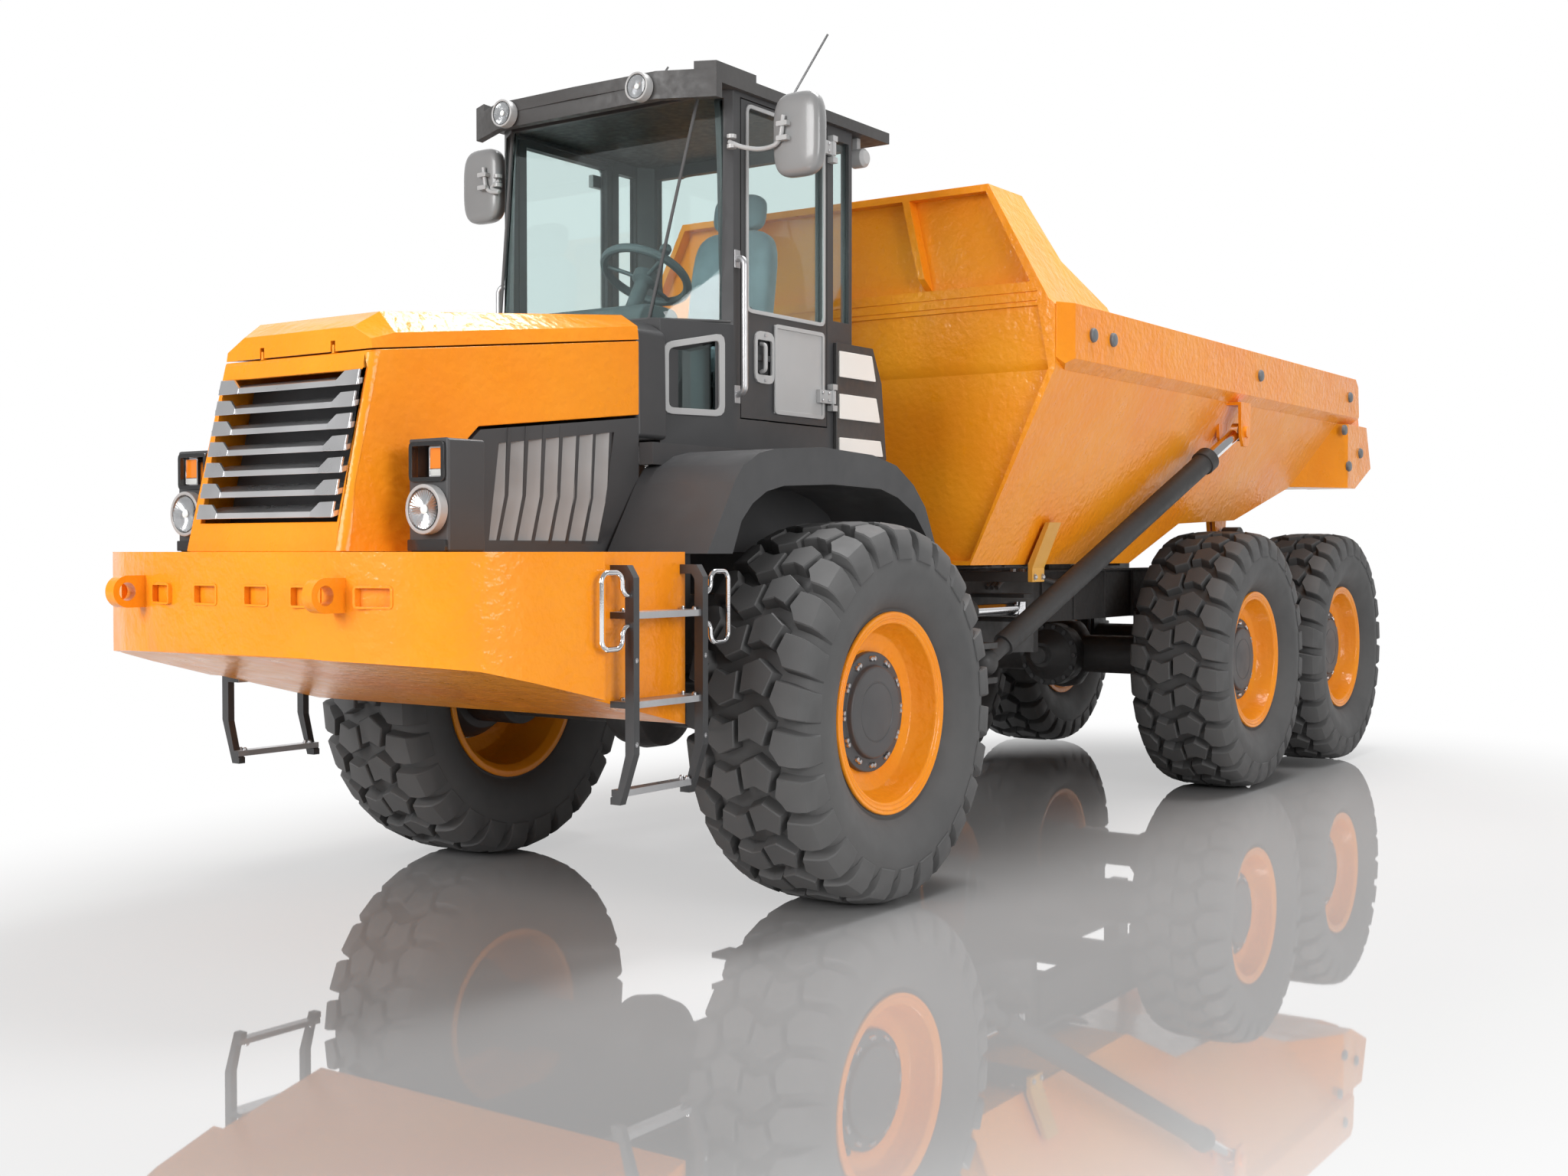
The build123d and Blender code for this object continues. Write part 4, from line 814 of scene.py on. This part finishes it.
# White slats: front end, rear end at the foot and at the top, foot and top
slat_rows = [(0.548, 0.868, 0.832, 2.302, 2.422), (0.548, 0.908, 0.872, 2.107, 2.223),
             (0.548, 0.935, 0.912, 1.945, 2.020)]
for side in (1, -1):
    bead(grey_trim, loop(ring_outer, 0.045), loop(ring_inner, 0.025), corner_face(side), -0.01, 0.010)
    plate(grey_trim, rect(0.785, 0.815, 3.38, 3.475, 0.01), from_side(0.610, side), 0.0, 0.030)
    knob(grey_trim, from_side(0.640, side), 0.80, 3.365, corner_lamp, 24)
    tube(dark_trim, [(side * 0.434, -0.531, 2.472), (side * 0.541, -0.331, 3.425)], 0.007)
    tube(dark_trim, [(side * 0.436, -0.531, 2.472), (side * 0.664, -0.262, 2.472)], 0.006)
    for y0, y_foot, y_top, z0, z1 in slat_rows:
        outline = loop([(y0, z0), (y_foot, z0), (y_top, z1), (y0, z1)], 0.004, 1)
        plate(slats, outline, from_side(cab_side, side), 0.010, 0.026)
tube(dark_trim, [(-0.436, -0.531, 2.472), (0.436, -0.531, 2.472)], 0.006)
drawn("window_rings", grey_trim, light_grey, "front", "dark_paint", 0.004)
drawn("screen_gaskets", dark_trim, rubber, "front", "dark_plastic")
drawn("rear_slats", slats, slat_white, "front", "dark_plastic", 0.003)

# Seat, dashboard, steering wheel and console

cab_floor = 1.968
bm = bmesh.new()
plate(bm, rect(-0.17, 0.17, 0.22, 0.56, 0.05), from_top(cab_floor), 0, 0.31)
plate(bm, rect(-0.22, 0.22, 0.20, 0.60, 0.05), from_top(2.255), 0, 0.03)
for x in (-0.055, 0.055):
    tube(bm, [(x, 0.700, 3.02), (x, 0.712, 3.12)], 0.007)
drawn("seat_base", bm, cab_plastic, "front", "dark_plastic", 0.008, replaced=("seat",))
# Cushions: name, centre, half sizes, lean, squareness
cushions = [
    ("seat_cushion", (0, 0.375, 2.355), (0.262, 0.248, 0.075), 0.05, 5.0),
    ("seat_back", (0, 0.640, 2.730), (0.238, 0.062, 0.335), 0.16, 4.5),
    ("seat_headrest", (0, 0.712, 3.155), (0.145, 0.050, 0.092), 0.16, 3.5),
]
for name, centre, half, lean, square in cushions:
    bm = bmesh.new()
    pillow(bm, centre, half, -lean, square, 12, 0.08)
    piece = drawn(name, bm, seat_cloth, "front", "seat_cloth", crease=60)

bm = bmesh.new()
dashboard_outline = [(-0.50, 1.972), (-0.22, 1.972), (-0.14, 2.38), (-0.16, 2.56), (-0.40, 2.57),
                     (-0.47, 2.42)]
plate(bm, loop(dashboard_outline, 0.05), from_side(-0.30), 0, 0.60)
plate(bm, [(-0.44, 1.972), (-0.26, 1.972), (-0.26, 2.40), (-0.42, 2.43)], from_side(-0.56), 0, 1.12)
drawn("dashboard", bm, cab_plastic, "front", "dark_plastic", 0.03, segments=4, replaced=("controls",))
bm = bmesh.new()
wheel_place = Matrix.Translation((0, -0.02, 2.760)) @ Matrix.Rotation(math.radians(-30), 4, "X")
wheel_radius, wheel_tube = 0.200, 0.020
lathe(bm, [(wheel_tube * math.cos(a), wheel_radius + wheel_tube * math.sin(a))
           for a in turns(10)], 48, closed=True, place=wheel_place @ turn_up)
for angle in (90, 210, 330):
    a = math.radians(angle)
    tube(bm, [wheel_place @ Vector((0.03 * math.cos(a), 0.03 * math.sin(a), -0.02)),
              wheel_place @ Vector((wheel_radius * math.cos(a), wheel_radius * math.sin(a), 0))], 0.010)
column = [(-0.27, 0.035), (-0.05, 0.035), (-0.035, 0.055), (0.005, 0.055), (0.015, 0.04), (0.016, 0.001)]
spinner = [(0.0, 0.010), (0.03, 0.010), (0.035, 0.024), (0.055, 0.026), (0.07, 0.018), (0.072, 0.001)]
knob(bm, wheel_place, 0, 0, column, 24)
knob(bm, wheel_place, 0.165, -0.10, spinner, 16)
for x, y, top in ((0.30, 0.20, 2.62), (0.34, 0.28, 2.58)):
    tube(bm, [(x, y, 2.28), (x, y + 0.02, top)], 0.008)
    pillow(bm, (x, y + 0.02, top + 0.02), (0.020, 0.020, 0.028), steps=6)
plate(bm, rect(0.28, 0.42, 0.10, 0.60, 0.03), from_top(cab_floor), 0, 0.34)
drawn("steering_wheel", bm, cab_plastic, "front", "dark_plastic")

# Mirrors

heads, glasses, arms = bmesh.new(), bmesh.new(), bmesh.new()
for side, x in ((1, 1.007), (-1, 0.807)):
    pillow(heads, (side * x, -0.240, 3.225), (0.120, 0.046, 0.175), square=3.6, steps=14)
    plate(glasses, rect(x - 0.088, x + 0.088, 3.085, 3.365, 0.05), from_front(-0.196, side), -0.006, 0.0)
    arm = [(0.672, -0.281, 3.232), (0.735, -0.286, 3.200), (x - 0.16, -0.290, 3.172),
           (x - 0.06, -0.296, 3.185), (x - 0.045, -0.296, 3.300)]
    tube(arms, [(side * out, y, z) for out, y, z in arm], 0.010, 0.05)
    for z in (3.210, 3.252):
        knob(arms, from_top(z, side), 0.684, -0.281, [(-0.008, 0.020), (0.008, 0.020), (0.008, 0.001)], 20)
    for z in (3.205, 3.265):
        plate(arms, rect(x - 0.072, x - 0.018, z - 0.010, z + 0.010, 0.005), from_front(-0.280, side),
              0.0, 0.032)
drawn("mirror_heads", heads, mirror_grey, "front", "dark_plastic", crease=60, replaced=("mirrors",))
drawn("mirror_glass", glasses, chrome, "front", "bright_metal")
drawn("mirror_arms", arms, ring_grey, "front", "dark_plastic")

# Lamps: fluted reflectors, lenses, bulbs and the indicators with their rims and surrounds

bowls, lenses, bulbs, surrounds = bmesh.new(), bmesh.new(), bmesh.new(), bmesh.new()
ambers, rims = bmesh.new(), bmesh.new()
flutes = 36
# Headlamp and roof lamp: place and radius of the bowl
lamp_places = ((0.660, -2.038, 1.634, 0.0731), (0.390, -0.563, 3.449, 0.0512))
for side in (1, -1):
    for x, y, z, radius in lamp_places:
        place = from_front(y + 0.0115, side)
        rings = []
        for share, depth in ((0.98, 0.009), (0.90, 0.004), (0.55, 0.0015), (0.20, 0.0)):
            ring = []
            for k, a in enumerate(turns(flutes * 2)):
                lift = 0.0012 if k % 2 else 0.0
                ring.append(bowls.verts.new(place @ Vector((x + radius * share * math.cos(a),
                                                            z + radius * share * math.sin(a), depth + lift))))
            rings.append(ring)
        bridge(bowls, rings, close_ends=False)
        knob(bulbs, place, x, z, [(-0.001, radius * 0.22), (0.003, radius * 0.22), (0.006, radius * 0.15),
                                  (0.0075, 0.001)], 20)
        knob(lenses, place, x, z, [(0.0085, radius * 0.99), (0.0115, radius * 0.97), (0.0145, radius * 0.7),
                                   (0.016, radius * 0.3), (0.0165, 0.001)], 40)
    box_face, recess = from_front(-2.0, side), from_front(-1.985, side)
    border(surrounds, (0.572, 0.725, 1.740, 1.860, 0.010), 0.010, -0.006, box_face, -0.02, 0.010)
    plate(surrounds, rect(0.556, 0.741, 1.490, 1.530, 0.005), box_face, -0.01, 0.012)
    bead(rims, rect(0.640, 0.718, 1.745, 1.853, 0.008), rect(0.646, 0.712, 1.751, 1.847, 0.006),
         recess, -0.05, 0.004)
    plate(ambers, rect(0.645, 0.713, 1.776, 1.848, 0.004), recess, -0.05, 0.0)
    plate(bulbs, rect(0.645, 0.713, 1.750, 1.774, 0.003), recess, -0.05, 0.0)
drawn("lamp_bowls", bowls, reflector, "front", "bright_metal", crease=20)
drawn("lamp_lenses", lenses, lamp_glass, "front", "lamp_lens")
drawn("lamp_bulbs", bulbs, bulb_white, "front", "lamp_lens")
drawn("indicator_lenses", ambers, amber_lens, "front", "lamp_lens", 0.002)
drawn("indicator_rims", rims, chrome, "front", "bright_metal", 0.001)
drawn("lamp_surrounds", surrounds, gloss_black, "front", "dark_plastic", 0.003)

# Vent fins: overlapping kinked panels over the casing's own fins

fins = bmesh.new()
fin_pitch = 0.084
# Levels of a fin: height (None is the opening's top), front edge and rear edge behind the fin's foot
fin_levels = [(1.526, 0.008, 0.080), (1.700, 0.058, 0.130), (None, 0.074, 0.146)]
for side in (1, -1):
    for step in range(-1, 7):
        foot = -1.520 + step * fin_pitch
        rings = []
        for z, front, rear in fin_levels:
            ring = []
            for dy, inset in ((front, 0.034), (rear, 0.000), (rear, 0.005), (front, 0.039)):
                y = foot + dy
                height = z or 1.897 + (y + 1.50) * 0.1228
                ring.append(fins.verts.new((side * (vent_face(y, height) - inset), y, height)))
            rings.append(ring)
        bridge(fins, rings)
drawn("vent_fins", fins, fin_grey, "front", "dark_plastic", 0.002)

# Grille: bright tips at the blades' outer ends

tips = bmesh.new()
blade_pitch = 0.078
lean = 0.2328
for step in range(7):
    z = 1.625 + step * blade_pitch
    for side in (1, -1):
        half = 0.377 + (z - 0.018 - 1.592) * 0.0204
        rings = []
        for x, drop, lift in ((half - 0.118, 0.017, 0.004), (half - 0.080, 0.018, 0.036),
                              (half - 0.004, 0.018, 0.038)):
            ring = []
            for height, out in ((-drop, 0.0), (lift, 0.0), (lift, -0.010), (-drop, -0.010)):
                y = -2.217 + (z + height - 1.504) * lean - out - 0.001
                ring.append(tips.verts.new((side * x, y, z + height)))
            rings.append(ring)
        bridge(tips, rings)
drawn("grille_tips", tips, blade_metal, "front", "bright_metal", 0.0015)

# Ladder bolts and bumper lips

slot_width, slot_low, slot_high = 0.117, 1.3045, 1.3655


def slot_face(x, side):
    """Outlines run (outward, up) on the bumper's front face at that x."""
    front = [(0.0, bumper_plan[0][1])] + bumper_plan
    inner, outer = next(pair for pair in zip(front, front[1:]) if x < pair[1][0])
    slope = (outer[1] - inner[1]) / (outer[0] - inner[0])
    y = inner[1] + (x - inner[0]) * slope
    return from_front(y, side) @ Matrix(((1, 0, 0, 0), (0, 1, 0, 0), (-slope, 0, 1, slope * x), (0, 0, 0, 1)))


bolts, lips = bmesh.new(), bmesh.new()
for side in (1, -1):
    for z in step_heights:
        for y in (-1.452, -1.103):
            for x in (1.062, 1.118) if z > 0.7 else (1.056, 1.084):
                bolt(bolts, from_top(z + step_half, side), x, y, 0.009, 0.012)
    for z in (1.10, 0.80):
        for y in (-1.479, -1.076):
            bolt(bolts, from_side(1.15, side), y, z, 0.007, 0.005)
    for x in (0.140, 0.400, 0.680):
        plate(lips, rect(x - 0.066, x + 0.066, 1.297, 1.373, 0.006), slot_face(x, side), -0.034, -0.022)
        slot = (x - slot_width / 2, x + slot_width / 2, slot_low, slot_high, 0.006)
        border(lips, slot, 0.0085, 0.0, slot_face(x, side), -0.02, 0.004)
drawn("ladder_bolts", bolts, steel, "front", "bright_metal")
drawn("bumper_lips", lips, orange, "front", "orange_paint", 0.002)

# Bed: grey buttons on the rails and tail boxes

buttons = bmesh.new()
rail_side = 1.390
button = [(-0.006, 0.036), (0.010, 0.036), (0.017, 0.030), (0.020, 0.018), (0.0205, 0.001)]
button_places = [(1.81, 2.574), (2.05, 2.574), (4.25, 2.574), (6.08, 2.574), (5.96, 2.338), (6.33, 2.192),
                 (6.065, 2.088)]
for side in (1, -1):
    for y, z in button_places:
        knob(buttons, from_side(rail_side, side), y, z, button, 24)
drawn("bed_buttons", buttons, button_grey, "bed", "dark_plastic")

# Chassis: ribs and flanges, bolts of the bed guides, hoses, axle housings and clamps

ribs, fittings, hoses = bmesh.new(), bmesh.new(), bmesh.new()
beam_side, beam_top = 0.515, 1.380
for side in (1, -1):
    beam = from_side(beam_side, side)
    for y in (2.98, 3.42, 3.86, 4.30, 5.00, 5.58, 6.10):
        plate(ribs, [(y, 1.078), (y + 0.014, 1.078), (y + 0.014, 1.372), (y, 1.372)], beam, 0, 0.022)
    plate(ribs, [(2.905, 1.366), (6.20, 1.366), (6.20, beam_top), (2.905, beam_top)], beam, 0, 0.024)
    for y in (2.095, 2.185):
        for x in (0.80, 0.86):
            hex_bolt(fittings, from_top(beam_top, side), x, y, 0.017, 0.016)
        bolt(fittings, from_side(0.930, side), y, 1.352, 0.013, 0.014)
    for k in range(4):
        x = 0.34 + 0.032 * k
        route = [(x, 2.60, 1.28), (x, 2.74, 1.33 + 0.008 * k), (x + 0.10, 3.00, 1.33),
                 (x + 0.16, 3.22, 1.31 - 0.01 * k), (x + 0.17, 3.46, 1.395)]
        tube(hoses, [(side * out, y, z) for out, y, z in route], 0.013, 0.10, 10)
drawn("frame_ribs", ribs, chassis, "rear", "dark_paint", 0.002)
drawn("frame_fittings", fittings, steel, "rear", "bright_metal")
drawn("hoses", hoses, rubber, "rear", "tyre_rubber")

ring_count, ring_radius = 14, 0.186
for axle_name, y in (("mid", 4.392), ("rear", 6.173)):
    housing, ring_bolts = bmesh.new(), bmesh.new()
    place = from_front(y) @ Matrix.Translation((0, axle_z, 0))
    knob(housing, place, 0, 0, [(0.10, 0.205), (0.232, 0.205), (0.240, 0.165), (0.300, 0.105), (0.345, 0.080),
                                (0.345, 0.055), (0.390, 0.055), (0.390, 0.001)], 40)
    flange = place @ Matrix.Translation((0, 0, 0.234))
    for a in turns(ring_count):
        hex_bolt(ring_bolts, flange, ring_radius * math.cos(a), ring_radius * math.sin(a), 0.016, 0.014)
    drawn("diff_housing_" + axle_name, housing, chassis, "rear", "dark_paint", 0.003)
    drawn("diff_bolts_" + axle_name, ring_bolts, dark_steel, "rear", "dark_paint", 0.001)
    clamps = bmesh.new()
    for side in (1, -1):
        for x in (0.575, 0.660):
            tube(clamps, [(side * x, y - 0.138, 1.10), (side * x, y - 0.138, 0.672),
                          (side * x, y + 0.138, 0.672), (side * x, y + 0.138, 1.10)], 0.013, 0.12, 10, 8)
    drawn("axle_clamps_" + axle_name, clamps, dark_steel, "rear", "dark_paint")

# Studio: pale glossy floor that fades into white, soft lamps and the camera

scene = bpy.context.scene
scene.view_settings.view_transform = "Standard"


def combined(tree, operation, first, second):
    return add_node(tree, "Math", {0: first, 1: second}, operation=operation).outputs["Value"]


def blended(tree, share, low, high):
    """low where share is 0, high where it is 1."""
    return add_node(tree, "Mix", {"Factor": share, "A": low, "B": high}).outputs["Result"]


def seen_directly(tree):
    """1 for rays that show the backdrop: from the camera, in gloss and through glass."""
    path = add_node(tree, "LightPath")
    total = path.outputs["Is Camera Ray"]
    for name in ("Is Glossy Ray", "Is Transmission Ray"):
        total = combined(tree, "MAXIMUM", total, path.outputs[name])
    return total


def floor_material():
    """A polished grey oval under the truck that fades into white."""
    mat, tree, shader = start_material("studio_floor")
    grey = ramp(tree, noise(tree, 0.4, 2), 0.3, 0.7, (0.44, 0.44, 0.44), (0.42, 0.42, 0.42))
    fill(tree, shader, {"Base Color": grey, "Roughness": 0.9, "Specular IOR Level": 0.0})
    mirror = add_node(tree, "BsdfGlossy", {"Roughness": 0.02})
    polished = mixed(tree, 0.52, shader.outputs["BSDF"], mirror.outputs["BSDF"])
    oval = add_node(tree, "Mapping", {"Vector": object_place(tree), "Location": (-0.28, 0.21, 0),
                                      "Scale": (1 / 3.2, 1 / 5.6, 1)})
    distance = add_node(tree, "VectorMath", {0: oval.outputs["Vector"]}, operation="LENGTH")
    fade = span(tree, distance.outputs["Value"], start=0.80, end=1.40, run="SMOOTHSTEP")
    white = add_node(tree, "Emission", {"Strength": 1.0})
    share = combined(tree, "MULTIPLY", fade, seen_directly(tree))
    cover(tree, mixed(tree, share, polished, white.outputs["Emission"]))
    return mat


floor_mesh = bpy.data.meshes.new("floor")
reach = 60.0
floor_mesh.from_pydata([(-reach, -reach, 0), (reach, -reach, 0), (reach, reach, 0), (-reach, reach, 0)], [],
                       [(0, 1, 2, 3)])
floor_mesh.materials.append(floor_material())
floor = linked("floor", floor_mesh)

world = bpy.data.worlds.new("studio")
scene.world = world
world.use_nodes = True
tree = world.node_tree

# Gloss sees a bright wall on the far side of the room and a dimmer room elsewhere
path = add_node(tree, "LightPath")
heading = add_node(tree, "TexCoord")
wall = add_node(tree, "VectorMath", {0: heading.outputs["Generated"], 1: (-0.57, 0.82, 0.0)},
                operation="DOT_PRODUCT")
wall_share = span(tree, wall.outputs["Value"], start=0.25, end=0.75, run="SMOOTHSTEP")
in_gloss = blended(tree, wall_share, 0.35, 1.25)
level = blended(tree, path.outputs["Is Glossy Ray"], 0.62, in_gloss)
level = blended(tree, path.outputs["Is Transmission Ray"], level, 1.0)
level = blended(tree, path.outputs["Is Camera Ray"], level, 1.0)
fill(tree, tree.nodes["Background"], {"Color": (1, 1, 1, 1), "Strength": level})

lamp_target = Vector((0, 0, 1.2))
# Studio lamps: name, place, watts, size
lamps = [
    ("top", (1.4, 1.6, 10.5), 1150, 4.0),
    ("side", (12.0, -6.0, 4.5), 620, 5.0),
    ("front_fill", (-2.0, -18.0, 7.0), 2000, 7.0),
]
for name, place, watts, size in lamps:
    lamp = bpy.data.lights.new(name, "AREA")
    lamp.energy = watts
    lamp.size = size
    holder = linked(name, lamp)
    holder.location = place
    holder.rotation_euler = (lamp_target - Vector(place)).to_track_quat("-Z", "Y").to_euler()

lens = bpy.data.cameras.new("camera")
lens.lens = 39.64
lens.sensor_width = 36.0
camera = linked("camera", lens)
camera.location = (5.080, -8.483, 1.489)
camera.rotation_euler = (math.radians(88.783), 0, math.radians(34.806))
scene.camera = camera
